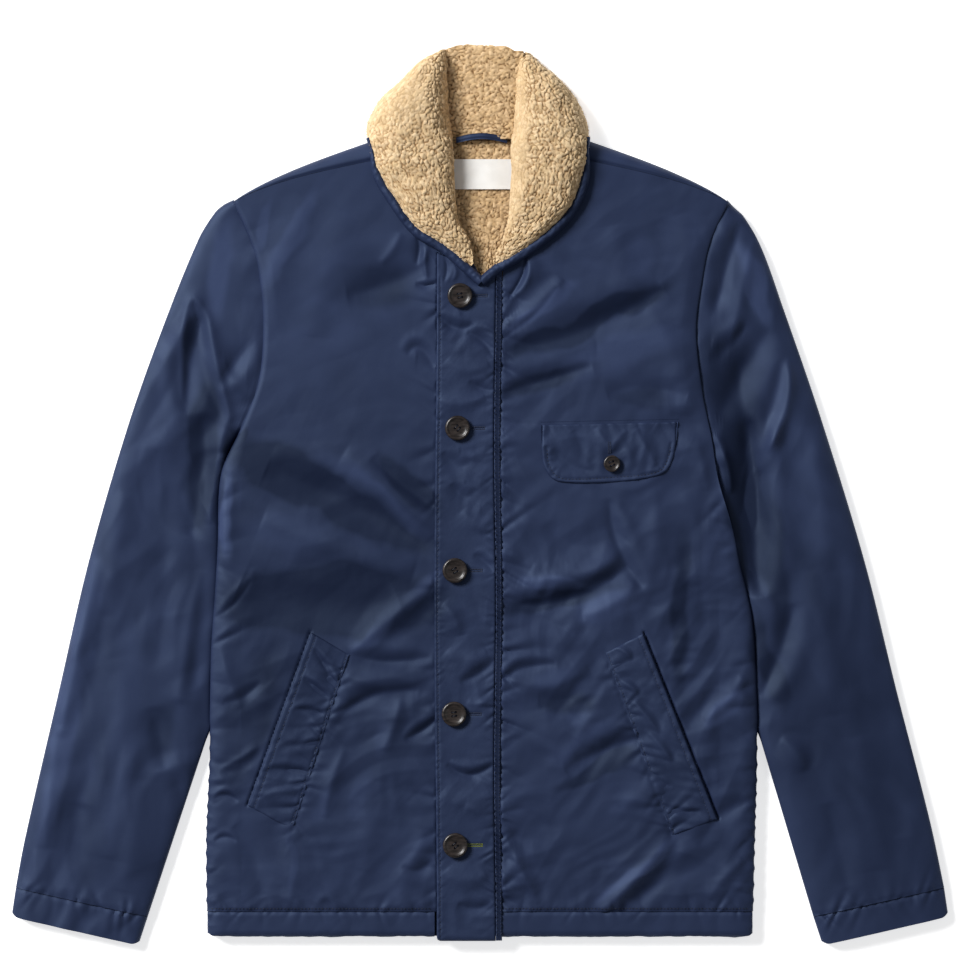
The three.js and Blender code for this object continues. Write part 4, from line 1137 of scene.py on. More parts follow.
def tube(side, part, plan_of, lengths, height, wall):
    """A flattened tube of cloth, open at both ends, finer on its upper face."""
    s = np.concatenate([eased(UPPER_COUNT, 0.7), eased(LOWER_COUNT, 0.7)[::-1]])
    upper = np.arange(len(s)) < UPPER_COUNT
    t, s = np.meshgrid(lengths, s, indexing="ij")
    plan = plan_of(side, t, s)
    x, y = plan[..., 0], plan[..., 1]
    ends = plan_of(side, t, 0 * s), plan_of(side, t, 0 * s + 1)
    width = np.hypot(*np.moveaxis(ends[1] - ends[0], -1, 0))
    away = np.minimum(s, 1 - s) * width
    middle = height / 2
    fullness = mix(26, 5, clamp(1 - t / 0.05)) if part == "sleeve" else 26
    crown = (height - middle - 0.5) * roll(away, fullness)
    top = middle + 0.5 + crown + sleeve_relief(x, y) * roll(away, 16)
    top = np.maximum(top, mix(middle + 0.5, LEAST_HEIGHT, roll(away, 8)))
    under = (middle - 0.5) * (1 - roll(away, middle))
    pressed = clamp(-0.5 * sleeve_relief(x * 0.93 + 9, y + 31) - 0.2, 0, 1.2)
    skin = np.dstack([plan, np.where(upper, top, under + pressed * roll(away, 16))])
    inset = wall / width
    inner = plan_of(side, t, mix(inset, 1 - inset, s))
    lower_z = np.minimum(np.minimum(middle - 0.2, skin[..., 2] + wall), top - 2.2)
    upper_z = np.minimum(np.maximum(middle + 0.2, skin[..., 2] - wall), top - 1)
    lining = np.dstack([inner, np.where(upper, upper_z, lower_z)])[::COARSE, ::COARSE]
    fine = np.arange(t.size).reshape(t.shape)
    rough = t.size + np.arange(lining.size // 3).reshape(lining.shape[:2])
    faces = quads(closed(fine)) + quads(closed(rough))
    for end in (0, -1):
        faces += join_loops(fine[end], rough[end])
    points = np.concatenate([skin.reshape(-1, 3), lining.reshape(-1, 3)])
    piece = new_piece(f"{side}_{part}_cloth", points, faces, SHELL, "shell", [f"{side}_{part}"])


def sleeve_relief(x, y):
    """What the folds, seams and small puckers add to the plain face of the sleeves and cuffs."""
    height = creases(x, y, SLEEVE_CREASES) + 0.45 * wrinkles(x, y, 101, turn=1.35, stretch=2.4)
    calm = mix(1, 0.35, smooth((x - 250) / 50))
    lie = np.where(x < 0, 1.35, 1.8)
    for turn in (1.35, 1.8):
        height += (lie == turn) * calm * 1.7 * crumple(x, y, 44, 102, turn, 0.45)
    for k, side in enumerate(SIDES):
        armhole = side_line(side, ARMPIT_Y[side], SHOULDER_TIP[1])
        height += puckers(x, y, armhole, 24, 26, 1.0, 105 + k)
        height += valley(armhole, x, y, 0.5, 1.6)
        line = cuff_line(side)
        height += puckers(x, y, line, 14, 18, 2.2, 107 + k)
        height += puckers(x, y, line, 7, 8, 1.0, 109 + k)
        height += valley(line, x, y, 0.7, 2.6)
    return height


def cuff_line(side):
    """The seam between a sleeve and its cuff."""
    return sleeve_plan(side, np.ones(20), np.linspace(-0.03, 1.03, 20))


def sleeves():
    """Each sleeve and its cuff band."""
    for side in SIDES:
        tube(side, "sleeve", sleeve_plan, eased(281, 0.2), SLEEVE_HEIGHT, SLEEVE_WALL)
        tube(side, "cuff", cuff_plan, eased(25, 0.4), CUFF_HEIGHT, CUFF_WALL)


# Pockets


def applied_top(x, y):
    """The front's face with its folds softened, as it shows through a flap that lies on it."""
    return front_top(x, y) * 0.35 + body_top(x, y) * 0.65


def welts():
    """The slanted hand pocket welts: free and raised along the opening, sewn down inside it."""
    for k, side in enumerate(SIDES):
        corner = {name: np.array(place, float) for name, place in WELTS[side].items()}
        up = eased(129, 0.35)[:, None]
        outer = mix(corner["bottom_outer"], corner["top_outer"], up)
        inner = mix(corner["bottom_inner"], corner["top_inner"], up)
        shares = eased(45, 0.5)
        plan = between(outer, inner, shares)
        x, y = plan[..., 0], plan[..., 1]
        line_in = inner + (outer - inner) * 0.06
        line_out = outer + (inner - outer) * 0.12
        proud = mix(2.6, 0.5, smooth(shares[None, :] * 1.05)) * mix(0.35, 1, smooth(up / 0.16))
        height = front_top(x, y) * 0.5 + body_top(x, y) * 0.5 + proud
        height += creases(x, y, WELT_CREASES) + 0.5 * crumple(x, y, 17, 121 + k, 0.2 - 0.8 * k, 0.6)
        height += puckers(x, y, line_in, 12, 24, 1.7, 123 + k)
        height += puckers(x, y, line_out, 14, 9, 0.6, 125 + k)
        height += valley(line_in, x, y, 0.5, 1.4) + valley(line_out, x, y, 0.4, 1.2)
        edge = grid_inset(plan)
        height -= 0.9 * (1 - roll(edge, 2.0))
        base = body_top(x, y) - 2.5
        cloth(f"{side}_welt_cloth", plan, np.maximum(height, base + 0.8), base, TRIM, f"{side}_hand_welt")
        stitches(f"{side}_welt_stitches", line_in, surface_of(plan, height))
        stitches(f"{side}_welt_edge_stitches", line_out, surface_of(plan, height))


# Folds across the welts
WELT_CREASES = [
    (-150, 260, -138, 240, -130, 223, -1.2, 3, 0.5),
    (-159, 234, -146, 222, -136, 215, -1.3, 3, 0.5),
    (-168, 205, -154, 204, -140, 200, -1.2, 3, 0.5),
    (-191, 152, -172, 150, -152, 148, -1.3, 3.5, 0.5),
    (-196, 126, -180, 132, -166, 128, 0.8, 4, 0),
    (119, 260, 128, 258, 136, 250, 1.0, 3, 0.5),
    (124, 232, 134, 226, 142, 218, 1.1, 3, 0.5),
    (138, 212, 150, 198, 160, 184, 1.2, 3.5, 0.5),
    (151, 184, 162, 172, 172, 158, 1.1, 3.5, 0.5),
    (165, 117, 182, 113, 198, 114, -1.0, 2.5, 0.5),
    (150, 150, 160, 140, 172, 136, -0.9, 3, 0.4),
]


def grid_inset(plan):
    """How far each point of a grid lies inside the grid's own border."""
    border = plan.reshape(-1, 2)[loop_round(np.arange(plan.size // 2).reshape(plan.shape[:2]))]
    path = np.concatenate([border, border[:1]])[::3]
    return np.abs(beside(path, plan[..., 0], plan[..., 1])[0])


def surface_of(plan, height):
    """A reader of a grid's height at any place, from its nearest point."""
    tree = KDTree(height.size)
    flat = height.reshape(-1)
    for k, (x, y) in enumerate(plan.reshape(-1, 2)):
        tree.insert((x, y, 0), k)
    tree.balance()
    return lambda xs, ys: np.array([flat[tree.find((x, y, 0))[1]] for x, y in zip(xs, ys)])


FLAP = {"x": (55, 57, 66, 85, 117, 149, 166, 173, 176),
        "y": (440, 424, 411.5, 408.5, 409, 412.5, 418, 430, 444)}
FLAP_TOP = ((54.6, 463.6), (177.8, 466.3))
FLAP_MIDDLE = (116, 445)


def chest_flap():
    """The flap of the chest pocket, sewn down along its top and rounded at its lower corners."""
    along = np.linspace(0, 1, 105)
    foot = np.stack([read_evenly(FLAP[axis], along) for axis in "xy"], 1)
    head = curve(*FLAP_TOP, steps=105)
    plan = np.swapaxes(between(foot, head, eased(57, 0.6)), 0, 1)
    x, y = plan[..., 0], plan[..., 1]
    inward = FLAP_MIDDLE - foot
    line = foot + inward * (4.6 / np.hypot(*inward.T))[:, None]
    proud = mix(2.3, 0.9, smooth((y - 440) / 22))
    height = applied_top(x, y) + proud + 1.0 * crumple(x, y, 22, 131, 0.9, 1.0)
    height += creases(x, y, FLAP_CREASES)
    height += puckers(x, y, line, 9, 9, 0.6, 133) + valley(line, x, y, 0.5, 1.4)
    top_line = curve(*FLAP_TOP, steps=20)
    height += valley(top_line, x, y, 0.7, 1.4) + puckers(x, y, top_line, 10, 12, 0.9, 134)
    away = np.hypot(x - FLAP_BUTTON[0], y - FLAP_BUTTON[1])
    height -= 0.9 * np.exp(-((away / 11) ** 2))
    path = np.concatenate([foot, head[::-1], foot[:1]])
    inset = np.abs(beside(path[::2], x, y)[0])
    height -= 1.8 * (1 - roll(inset, 2.2))
    below = np.abs(beside(top_line, x, y)[0])
    height = mix(front_top(x, y) + 0.2, height, smooth(below / 3))
    height -= 1.7 * np.exp(-(((below - 2) / 0.9) ** 2))
    cloth("chest_flap_cloth", plan, height, body_top(x, y) - 1.2, TRIM, "chest_flap")
    face = surface_of(plan, height)
    stitches("flap_stitches", line, face, DARK_THREAD)
    flap_buttonhole(face)


def flap_buttonhole(face):
    """The worked edges of the upright buttonhole above the flap's button."""
    hole_x, hole_y = FLAP_BUTTON[0] - 2.2, FLAP_BUTTON[1] + 9
    lying = worked_edges(hole_y, hole_y + 11, 1.5)
    starts, ends = (np.array(rows)[:, ::-1] + (hole_x, 0) for rows in lying)
    beads("flap_buttonhole", starts, ends, face, 0.28, 0.2, THREAD)


# Folds of the chest flap
FLAP_CREASES = [
    (104, 458, 112, 446, 117, 436, 1.0, 4, 0),
    (132, 456, 122, 446, 118, 436, 1.0, 3.5, 0.4),
    (140, 458, 150, 438, 158, 424, 1.2, 5, 0.4),
    (126, 450, 134, 432, 140, 418, 0.9, 5, 0),
    (84, 456, 92, 440, 100, 426, -0.9, 6, 0.3),
    (66, 440, 82, 424, 104, 420, -0.8, 5, 0.3),
]


# Small sewn things


def worked_edges(low, high, reach):
    """Where the threads along both edges of a buttonhole on the X axis start and end."""
    places = np.arange(low, high, 0.7)
    starts = [(place, side * 0.3) for side in (-1, 1) for place in places]
    ends = [(place + 0.2, side * reach) for side in (-1, 1) for place in places]
    return starts, ends


def beads(name, starts, ends, height_at, thick, lift, material, slot="shell"):
    """Strands of thread, each a rounded bead from one place to another, sunk a little in the cloth."""
    starts, ends = np.asarray(starts, float), np.asarray(ends, float)
    first = np.column_stack([starts, height_at(starts[:, 0], starts[:, 1])])
    last = np.column_stack([ends, height_at(ends[:, 0], ends[:, 1])])
    axis = last - first
    axis /= np.linalg.norm(axis, axis=1)[:, None]
    across = np.cross(axis, (0, 0, 1))
    across /= np.linalg.norm(across, axis=1)[:, None]
    up = np.cross(across, axis)
    rings = [(first - up * thick * 0.6)[:, None]]
    for share in (0.2, 0.5, 0.8):
        middle = mix(first, last, share) + up * lift * (1 if share == 0.5 else 0.45)
        for k in range(4):
            turn = math.pi * (k / 2 + 0.25)
            rings.append((middle + (across * math.cos(turn) + up * math.sin(turn)) * thick)[:, None])
    rings.append((last - up * thick * 0.6)[:, None])
    points = np.concatenate(rings, 1)
    faces = []
    for base in range(0, 14 * len(points), 14):
        for k in range(4):
            n = (k + 1) % 4
            faces.append((base, base + 1 + k, base + 1 + n))
            for ring in (base + 1, base + 5):
                faces.append((ring + k, ring + 4 + k, ring + 4 + n, ring + n))
            faces.append((base + 13, base + 9 + n, base + 9 + k))
    return new_piece(name, points.reshape(-1, 3), faces, material, slot, sharp=0)


def stitches(name, path, height_at, material=THREAD):
    """A row of thread stitches along a path."""
    pitch, length, thick = 3.1, 2.1, 0.3
    gone = np.concatenate([[0], np.cumsum(np.hypot(*np.diff(path, axis=0).T))])
    places = np.arange(pitch / 2 + length / 2, gone[-1] - length / 2, pitch)
    starts, ends = (np.column_stack([np.interp(places + d, gone, path[:, k]) for k in (0, 1)])
                    for d in (-length / 2, length / 2))
    beads(name, starts, ends, height_at, thick, 0.3 * thick, material)


def placket_top(x, y):
    """The face of the placket with its folds."""
    return placket_height(x, y) + placket_relief(x, y)


def seam_stitches():
    """The rows of topstitching along the placket's edge and the hem."""
    edge = upright(lambda h: placket_edge(h) + 3.2, -1, PLACKET_TOP - 6)
    stitches("placket_edge_stitches", edge, placket_top)
    for name, off in (("inner", 1.0), ("outer", STRIP_WIDTH - 0.5)):
        line = upright(lambda h: placket_seam(h) + off, 0, PLACKET_TOP)
        stitches(f"strip_{name}_stitches", line, strip_top)
    for side, (x1, x2) in (("right", (-244, -44)), ("left", (20, 243))):
        line = curve((x1, HEM_DEPTH + 2.6), (x2, HEM_DEPTH + 2.6), steps=30)
        stitches(f"{side}_hem_stitches", line, front_top, DARK_THREAD)


# Collar and neck


# The height at which the back of the collar rests on the under collar
UNDER_COLLAR_TOP = 3.4


def over_fronts(x, y):
    """The height at which the collar and its rims rest on the fronts."""
    return body_top(x, np.minimum(y, SHOULDER_TIP[1])) + SEAM_GAP + 1.2


def collar_base(x, y):
    """The underside of the collar, which comes down to the under collar behind the neck."""
    return mix(over_fronts(x, y), UNDER_COLLAR_TOP, smooth((y - BACK_NECK_Y - 6) / 16))


def scattered(points, spacing, draw):
    """Some of the points, picked at random and at least a spacing apart."""
    cells, picked = {}, []
    for k in draw.permutation(len(points)):
        p = points[k]
        cell = tuple(np.floor(p / spacing).astype(int))
        around = (cells.get((cell[0] + i, cell[1] + j, cell[2] + m), ())
                  for i in (-1, 0, 1) for j in (-1, 0, 1) for m in (-1, 0, 1))
        if any(((p - q) ** 2).sum() < spacing**2 for near in around for q in near):
            continue
        cells.setdefault(cell, []).append(p)
        picked.append(p)
    return np.array(picked)


CURL_STRETCH = 1.75


def curls(points, spacing, seed):
    """Curls of pile on a surface, each long in a direction of its own: for each point the height of
    its curl and the curl's own tone."""
    draw = np.random.default_rng(seed)
    centres = scattered(points, spacing, draw)
    tree = KDTree(len(centres))
    for k, p in enumerate(centres):
        tree.insert(p, k)
    tree.balance()
    near = np.array([[found[1] for found in tree.find_n(p, 6)] for p in points])
    sway = 2.2 * noise(centres[:, 0], centres[:, 1] + centres[:, 2], 26, seed + 1)
    turn = sway + draw.normal(0, 0.7, len(centres))
    lift = draw.uniform(0, 1, len(centres)) ** 0.8
    off = points[:, None, :] - centres[near]
    along = off[..., 0] * np.cos(turn[near]) + off[..., 1] * np.sin(turn[near])
    reach = (off**2).sum(-1) - along**2 * (1 - 1 / CURL_STRETCH**2)
    reach = np.sqrt(np.maximum(reach, 0)) - 0.35 * spacing * lift[near]
    order = np.argsort(reach, axis=1)
    first, second = (np.take_along_axis(reach, order[:, k:k + 1], 1)[:, 0] for k in (0, 1))
    own = np.take_along_axis(near, order[:, :1], 1)[:, 0]
    other = np.take_along_axis(near, order[:, 1:2], 1)[:, 0]
    pair = np.minimum(own, other) * 7919 + np.maximum(own, other) * 104729
    apart = mix(0.6, 1, smooth(((pair % 997) / 997 - 0.2) / 0.3))
    dome = 1 - apart * (1 - clamp((second - first) / (0.6 * spacing)))
    height = np.sqrt(np.maximum(0, 1 - (1 - dome) ** 2)) * (0.7 + 0.3 * lift[own])
    return height, draw.uniform(0, 1, len(centres))[own]


def grid_normals(points):
    """The upward normals of a grid of points."""
    along = np.gradient(points, axis=0)
    across = np.gradient(points, axis=1)
    normal = np.cross(across, along)
    normal *= np.sign(normal[..., 2].sum())
    return normal / np.maximum(np.linalg.norm(normal, axis=-1, keepdims=True), 1e-9)


def pile_piece(name, surface, bottom, node, seed, depth=2.7, spacing=2.9, clump=1.0,
               material=PILE, brushed=0):
    """A closed piece faced with curly pile, with its height kept for the material's painted crevice shade
    and its tone for the material. The curls are flatter where the pile is brushed."""
    flat = surface.reshape(-1, 3)
    height, tint = curls(flat.copy(), spacing, seed)
    height = mix(height, 0.85, np.broadcast_to(brushed, surface.shape[:2]).reshape(-1))
    lumps = noise(flat[:, 0], flat[:, 1] + 0.5 * flat[:, 2], 15, seed + 9) * clump
    moved = flat + grid_normals(surface).reshape(-1, 3) * (depth * (height - 0.6) + lumps)[:, None]
    fine = moved.reshape(surface.shape)
    points, faces = slab_mesh(fine, lifted(surface[..., :2], bottom))
    piece = new_piece(name, points, faces, material, "pile", [node], sharp=0)
    extra = len(points) - len(flat)
    for key, values in (("pile_height", height), ("pile_tint", tint)):
        keep_values(piece.data, key, np.concatenate([values, np.zeros(extra)]))


def collar_path(side, edge, shares):
    """The outer or the inner edge of a collar half, in plan, from the V to the nape."""
    return np.stack([read_evenly(COLLAR[side][f"{edge}_{axis}"], shares) for axis in "xy"], 1)


def collar_halves():
    """The two rolled halves of the collar, faced with pile that is brushed flatter in places."""
    for k, side in enumerate(SIDES):
        t = eased(237, 0.15)
        shares = eased(141, 0.8)
        plan = between(collar_path(side, "outer", t), collar_path(side, "inner", t), shares)
        x, y = plan[..., 0], plan[..., 1]
        base = collar_base(x, y)
        crest = read_evenly(COLLAR_CREST, t)[:, None]
        dome = np.maximum(0, 1 - np.abs(2 * shares - 1) ** 3)[None, :] ** 0.5
        thin = base + 3
        top = np.maximum(thin, mix(thin, crest - 1.5, dome))
        top += 1.2 * noise(x, y, 34, 141 + k) * dome
        if side == "right":
            brushed = 0.55 * smooth((y - 705) / 50) * smooth((-x - 38) / 24)
        else:
            brushed = 0.6 * smooth((shares - 0.76) / 0.08) * smooth((y - 620) / 40)
        pile_piece(f"{side}_collar_cloth", lifted(plan, top), base, f"{side}_collar_pile", 150 + 20 * k,
                   brushed=brushed)
        fluff(side)


def fluff(side):
    """Short strands that stand out round the pile's outer edge."""
    draw = np.random.default_rng(161 + SIDES[side])
    t = draw.uniform(0.02, 1, 1300)
    root = collar_path(side, "outer", t)
    ahead = collar_path(side, "outer", t + 0.01) - root
    out = np.arctan2(ahead[:, 1], ahead[:, 0]) - SIDES[side] * math.pi / 2 + draw.normal(0, 0.7, len(t))
    start, reach = draw.uniform(-3, 0, len(t)), draw.uniform(1.5, 3.4, len(t))
    way = np.stack([np.cos(out), np.sin(out)], 1)
    starts = root + way * start[:, None]
    piece = beads(f"{side}_collar_fluff", starts, starts + way * reach[:, None],
                  lambda px, py: collar_base(px, py) + 4.5, 0.17, 0.5, PILE, "pile")
    keep_values(piece.data, "pile_height", np.full(14 * len(t), 0.9))


def collar_back():
    """The pile on the standing back of the collar, between the two halves."""
    low, high = BACK_NECK_Y + 12, 801
    up = eased(97, 0.3)
    first = np.stack([mix(-29, -35, up), mix(low, high, up)], 1)
    last = np.stack([mix(31, 39, up), mix(low, high - 3, up)], 1)
    plan = between(first, last, eased(65, 0.2))
    x = plan[..., 0]
    arch = 3 * np.cos(x / 27) - 2.4 * smooth((np.abs(x) - 20) / 14) + 0.8 * noise(x, x * 0, 7, 192)
    plan[..., 1] += arch * up[:, None] ** 4
    y = plan[..., 1]
    slant = smooth((x + 22) / 50)
    top = mix(12.5, 21, slant) - 3 * (1 - roll(y - low + 2, 60)) - 5 * (1 - roll(high + 2 - y, 14))
    # The darker pile here is painted shade
    pile_piece("back_collar_cloth", lifted(plan, top), UNDER_COLLAR_TOP, "back_collar_pile", 191, 3.0,
               material=SHADED_PILE)


def neck_lining():
    """The pile that lines the back of the neck, out to the neckline of the fronts."""
    y = mix(593, BACK_NECK_Y + 11, eased(125, 0.1))
    right, left = (FRONT_EDGE[side] for side in SIDES)
    first = np.stack([read(right["y"][5:], right["x"][5:], np.minimum(y, 699)) + SEAM_GAP, y], 1)
    last = np.stack([read(left["y"][5:], left["x"][5:], np.minimum(y, 699)) - SEAM_GAP, y], 1)
    first[:, 0] = np.maximum(first[:, 0], -44)
    last[:, 0] = np.minimum(last[:, 0], 44)
    plan = between(first, last, eased(89, 0.1))
    top = 12.6 + 0 * plan[..., 0]
    # The darker pile here is painted shade
    pile_piece("neck_lining_cloth", lifted(plan, top), FRONT_BASE, "neck_lining", 211, 2.4, 2.7, 0.6,
               SHADED_PILE)


def under_collar():
    """The shell side of the collar, which lies on the surface behind the neck."""
    up = eased(49, 0.3)
    first = np.stack([mix(-91, -40, up**2), mix(BACK_NECK_Y + 2, 795, up)], 1)
    last = np.stack([mix(88, 44, up**2), mix(BACK_NECK_Y + 2, 793, up)], 1)
    plan = between(first, last, eased(65, 0.5))
    x, y = plan[..., 0], plan[..., 1]
    inset = grid_inset(plan)
    pressed = clamp(0.35 - 0.6 * wrinkles(x, y, 221, turn=0.1, size=30), 0, 1.3)
    bottom = 0.8 * (1.6 * (1 - roll(inset, 6)) + pressed)
    cloth("under_collar_cloth", plan, 3.0, bottom, SHELL, "under_collar", fine="bottom")


# Where the rims meet below the V of the neck
RIM_FOOT = {"right": (3, 592), "left": (-1.5, 592)}


def collar_rims():
    """The rolled shell edge along the outside of each collar half."""
    for k, side in enumerate(SIDES):
        t = np.linspace(0, 0.55, 153)
        line = collar_path(side, "outer", t)
        foot = curve(RIM_FOOT[side], line[0], steps=21)[:-1]
        line = np.concatenate([foot, line])
        slope = np.gradient(line, axis=0)
        slope /= np.hypot(*slope.T)[:, None]
        out = np.stack([SIDES[side] * np.abs(slope[:, 1]), -np.abs(slope[:, 0])], 1)
        shares = eased(17, 0.6)
        width = mix(8, 2.6, smooth((line[:, 1] - 680) / 30))[:, None]
        plan = between(line + out * (SEAM_GAP - 1.4), line + out * width, shares)
        x, y = plan[..., 0], plan[..., 1]
        base = over_fronts(x, y)
        dome = np.sqrt(np.maximum(0, 1 - (2 * shares - 1) ** 2))[None, :]
        swell = 0.8 * noise(x, y, 13, 233 + k) + 0.5 * noise(x + y, x - y, 5, 235 + k)
        top = base + mix(1.0, 6.4 + 1.3 * swell, dome)
        cloth(f"{side}_rim_cloth", plan, top, base - 1.4, TRIM, f"{side}_collar_rim")


def hanger_loop():
    """A narrow tape sewn down at both ends, bowed up and off the lining between them."""
    start, end, half_width = -22, 24, 2.7
    x = np.linspace(start, end, 49)
    arch = np.sin(math.pi * (x - start) / (end - start))
    middle = np.stack([x, 717 + 3.5 * arch], 1)
    plan = between(middle - (0, half_width), middle + (0, half_width), eased(9, 0.4))
    px, py = plan[..., 0], plan[..., 1]
    lift = 13.8 + 5 * arch[:, None] + 0.5 * noise(px, py, 12, 241)
    ridge = 0.35 * np.cos((py - middle[:, 1:]) * 1.7)
    cloth("hanger_loop_cloth", plan, lift + 1.7 + ridge, lift, TRIM, "hanger_loop")


def neck_label():
    """A bare woven label, sewn flat on the lining of the neck."""
    left, width = -24, 52
    y = mix(673, 700, eased(33, 0.3))
    first = np.stack([left + 0 * y, y], 1)
    plan = between(first, first + (width, 0), np.linspace(0, 1, 49))
    x, y = plan[..., 0], plan[..., 1]
    wave = 0.5 * noise(x, y, 16, 251) + 0.35 * np.sin(x / 5.5)
    cloth("neck_label_cloth", plan, 15.6 + wave, 14.6 + wave, LABEL, "neck_label", slot="label")


# Buttons


def button_mesh(across):
    """The mesh of a round button with a raised rim and a dished middle, before its holes are cut."""
    radius = across / 2
    thick = across * THICK_PER_ACROSS
    profile = ((0.78, 0), (0.93, 0.14), (1.0, 0.45), (0.99, 0.7), (0.96, 0.84), (0.88, 0.96),
               (0.84, 0.98), (0.8, 0.93), (0.73, 0.76), (0.64, 0.64), (0.45, 0.57), (0.25, 0.55))
    work = bmesh.new()
    turns = 56
    rings = []
    for r, z in profile:
        rings.append([work.verts.new((radius * r * math.cos(2 * math.pi * k / turns),
                                      radius * r * math.sin(2 * math.pi * k / turns), thick * z))
                      for k in range(turns)])
    bottom = work.verts.new((0, 0, 0))
    middle = work.verts.new((0, 0, thick * 0.55))
    for k in range(turns):
        n = (k + 1) % turns
        work.faces.new((bottom, rings[0][n], rings[0][k]))
        work.faces.new((middle, rings[-1][k], rings[-1][n]))
        for low, high in zip(rings[:-1], rings[1:]):
            work.faces.new((low[k], low[n], high[n], high[k]))
    bmesh.ops.recalc_face_normals(work, faces=work.faces)
    mesh = bpy.data.meshes.new("button_blank")
    work.to_mesh(mesh)
    work.free()
    return mesh


def hole_places():
    """The middles of a button's four thread holes."""
    return [(HOLE_OFFSET * i, HOLE_OFFSET * j) for i in (-1, 1) for j in (-1, 1)]


def pierced_button(across):
    """Points and faces of a button with its four thread holes cut through."""
    blank = placed("button_blank", button_mesh(across))
    work = bmesh.new()
    for hx, hy in hole_places():
        made = bmesh.ops.create_cone(work, cap_ends=True, segments=14, radius1=HOLE_RADIUS,
                                     radius2=HOLE_RADIUS, depth=across * THICK_PER_ACROSS * 4)
        bmesh.ops.translate(work, verts=made["verts"], vec=(hx, hy, 0))
    drill_mesh = bpy.data.meshes.new("button_drill")
    work.to_mesh(drill_mesh)
    work.free()
    drill = placed("button_drill", drill_mesh)
    cut = blank.modifiers.new("holes", "BOOLEAN")
    cut.operation = "DIFFERENCE"
    cut.solver = "EXACT"
    cut.object = drill
    shown = blank.evaluated_get(bpy.context.evaluated_depsgraph_get())
    result = bpy.data.meshes.new_from_object(shown)
    points = np.array([v.co for v in result.vertices])
    faces = [tuple(p.vertices) for p in result.polygons]
    for extra in (blank, drill):
        bpy.data.objects.remove(extra)
    return points, faces


def thread_bars(across):
    """Strands that cross a button between its holes, in two pairs."""
    points, faces = [], []
    thick = across * THICK_PER_ACROSS
    for hy in (-HOLE_OFFSET, HOLE_OFFSET):
        for strand in (-0.2, 0.2):
            first = len(points)
            for t in np.linspace(-1.25, 1.25, 9):
                height = thick * 0.55 + 0.5 * math.cos(t * 1.25) - 0.3
                centre = np.array([HOLE_OFFSET * t, hy + strand * across / 22, height])
                for k in range(5):
                    turn = 2 * math.pi * k / 5
                    off = np.array([0, math.cos(turn), math.sin(turn)])
                    points.append(centre + off * 0.2 * across / 22)
            for ring in range(8):
                for k in range(5):
                    a, b = first + ring * 5 + k, first + ring * 5 + (k + 1) % 5
                    faces.append((a, b, b + 5, a + 5))
            faces.append(tuple(first + k for k in range(5)))
            faces.append(tuple(first + 40 + k for k in range(5))[::-1])
    return np.array(points), faces


def buttons():
    """Each button with its thread, turned a little its own way, on the height of its solid."""
    spots = [(f"front_button_{k + 1}", x, y, BUTTON_ACROSS) for k, (x, y) in enumerate(FRONT_BUTTONS)]
    spots.append(("flap_button", *FLAP_BUTTON, FLAP_BUTTON_ACROSS))
    sizes = (BUTTON_ACROSS, FLAP_BUTTON_ACROSS)
    shapes = {size: (pierced_button(size), thread_bars(size)) for size in sizes}
    turns = (0.2, 0.85, 0.5, 0.1, 0.65, 0.35)
    for (node, x, y, size), turn in zip(spots, turns):
        (points, faces), (strands, strand_faces) = shapes[size]
        place = np.array([x, y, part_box(node)[0].z * 1000 + 0.1])
        c, s = math.cos(turn), math.sin(turn)
        spin = np.array([[c, s, 0], [-s, c, 0], [0, 0, 1]])
        new_piece(f"{node}_disc", points @ spin + place, faces, HORN, "button", [node], sharp=40)
        new_piece(f"{node}_thread", strands @ spin + place, strand_faces, DARK_THREAD, "button", sharp=0)


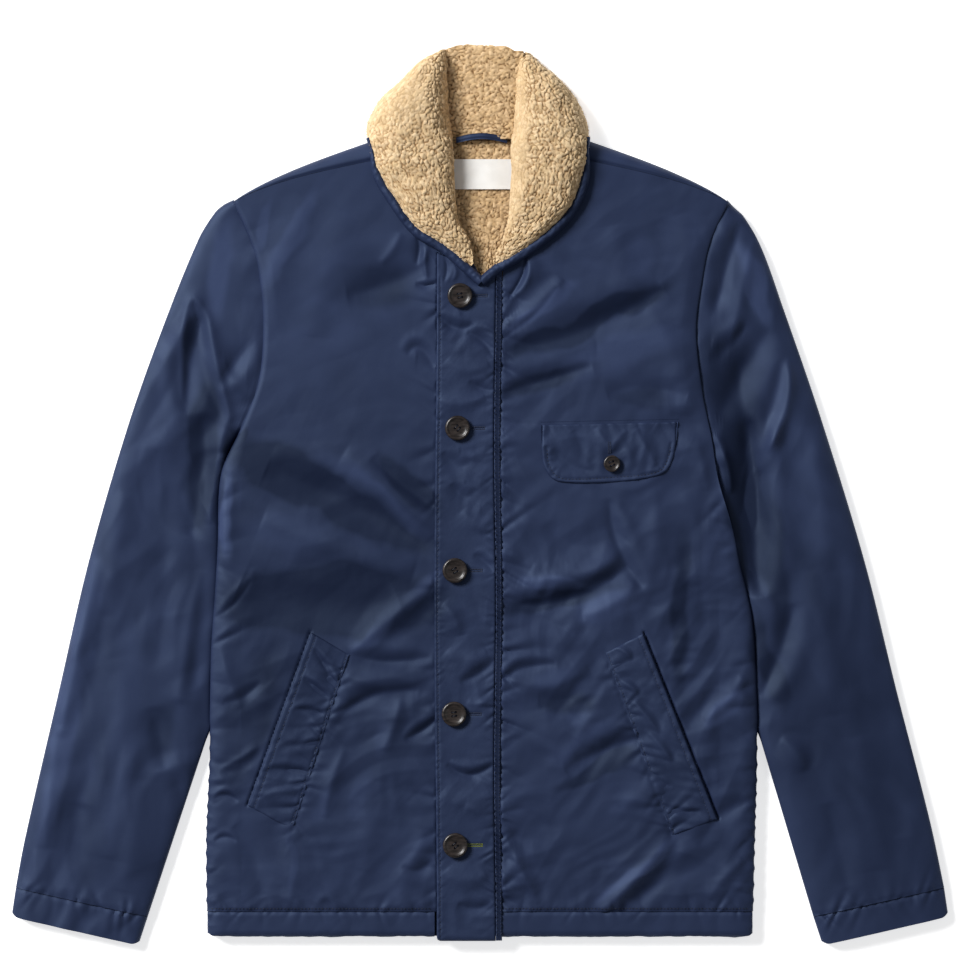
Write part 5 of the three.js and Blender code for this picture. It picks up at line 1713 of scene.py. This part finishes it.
def buttonholes():
    """The worked edges of the buttonholes beside each front button."""
    for k, (x, y) in enumerate(FRONT_BUTTONS):
        starts, ends = worked_edges(x + 9, x + 24, 1.6)
        starts += [(x + 23.6, row) for row in (-1.2, -0.4, 0.4, 1.2)]
        ends += [(x + 25, row) for row in (-1.2, -0.4, 0.4, 1.2)]
        starts, ends = np.add(starts, (0, y)), np.add(ends, (0, y))
        material = LOOSE_THREAD if k == len(FRONT_BUTTONS) - 1 else THREAD
        beads(f"buttonhole_{k + 1}", starts, ends, placket_top, 0.3, 0.2, material)


# Stage


def camera():
    """Straight above, with a long lens, framed as the photograph is."""
    field, distance = 0.864, 4.0
    view_middle = 0.4113
    middle_height = 0.015
    data = bpy.data.cameras.new("camera")
    data.sensor_width = 36
    data.lens = data.sensor_width * (distance - middle_height) / field
    data.clip_end = 30
    holder = placed("camera", data)
    holder.location = (0, hem_y + view_middle, distance)
    bpy.context.scene.camera = holder


def floor():
    """The white surface that the jacket lies on, just below its lowest points."""
    mesh = bpy.data.meshes.new("floor")
    size = 6
    corners = [(-size, -size, 0), (size, -size, 0), (size, size, 0), (-size, size, 0)]
    mesh.from_pydata(corners, [], [(0, 1, 2, 3)])
    mesh.materials.append(pale_floor("pale_floor"))
    ground = placed("floor", mesh)
    ground.location.z = -0.0004


def area_light(name, place, size, energy):
    """A rectangular lamp that points at the middle of the frame."""
    data = bpy.data.lights.new(name, "AREA")
    data.shape = "RECTANGLE"
    data.size, data.size_y = size
    data.energy = energy
    lamp = placed(name, data)
    lamp.location = place
    lamp.rotation_euler = (-Vector(place)).to_track_quat("-Z", "Y").to_euler()


def studio():
    """A large key lamp at the upper left, a weak fill lamp and a pale sky."""
    area_light("key", (-3.4, 2.4, 3.2), (1.8, 1.8), 345)
    area_light("fill", (2.4, -0.6, 2.6), (2.6, 2.6), 8)
    world = bpy.data.worlds.new("studio")
    world.use_nodes = True
    world.node_tree.nodes["Background"].inputs["Color"].default_value = (0.95, 0.97, 1.0, 1)
    world.node_tree.nodes["Background"].inputs["Strength"].default_value = 0.16
    bpy.context.scene.world = world
    bpy.context.scene.view_settings.view_transform = "Standard"


camera()
floor()
studio()
fronts()
back()
hems()
placket()
placket_strip()
sleeves()
welts()
chest_flap()
seam_stitches()
collar_halves()
collar_back()
neck_lining()
under_collar()
collar_rims()
hanger_loop()
neck_label()
buttons()
buttonholes()
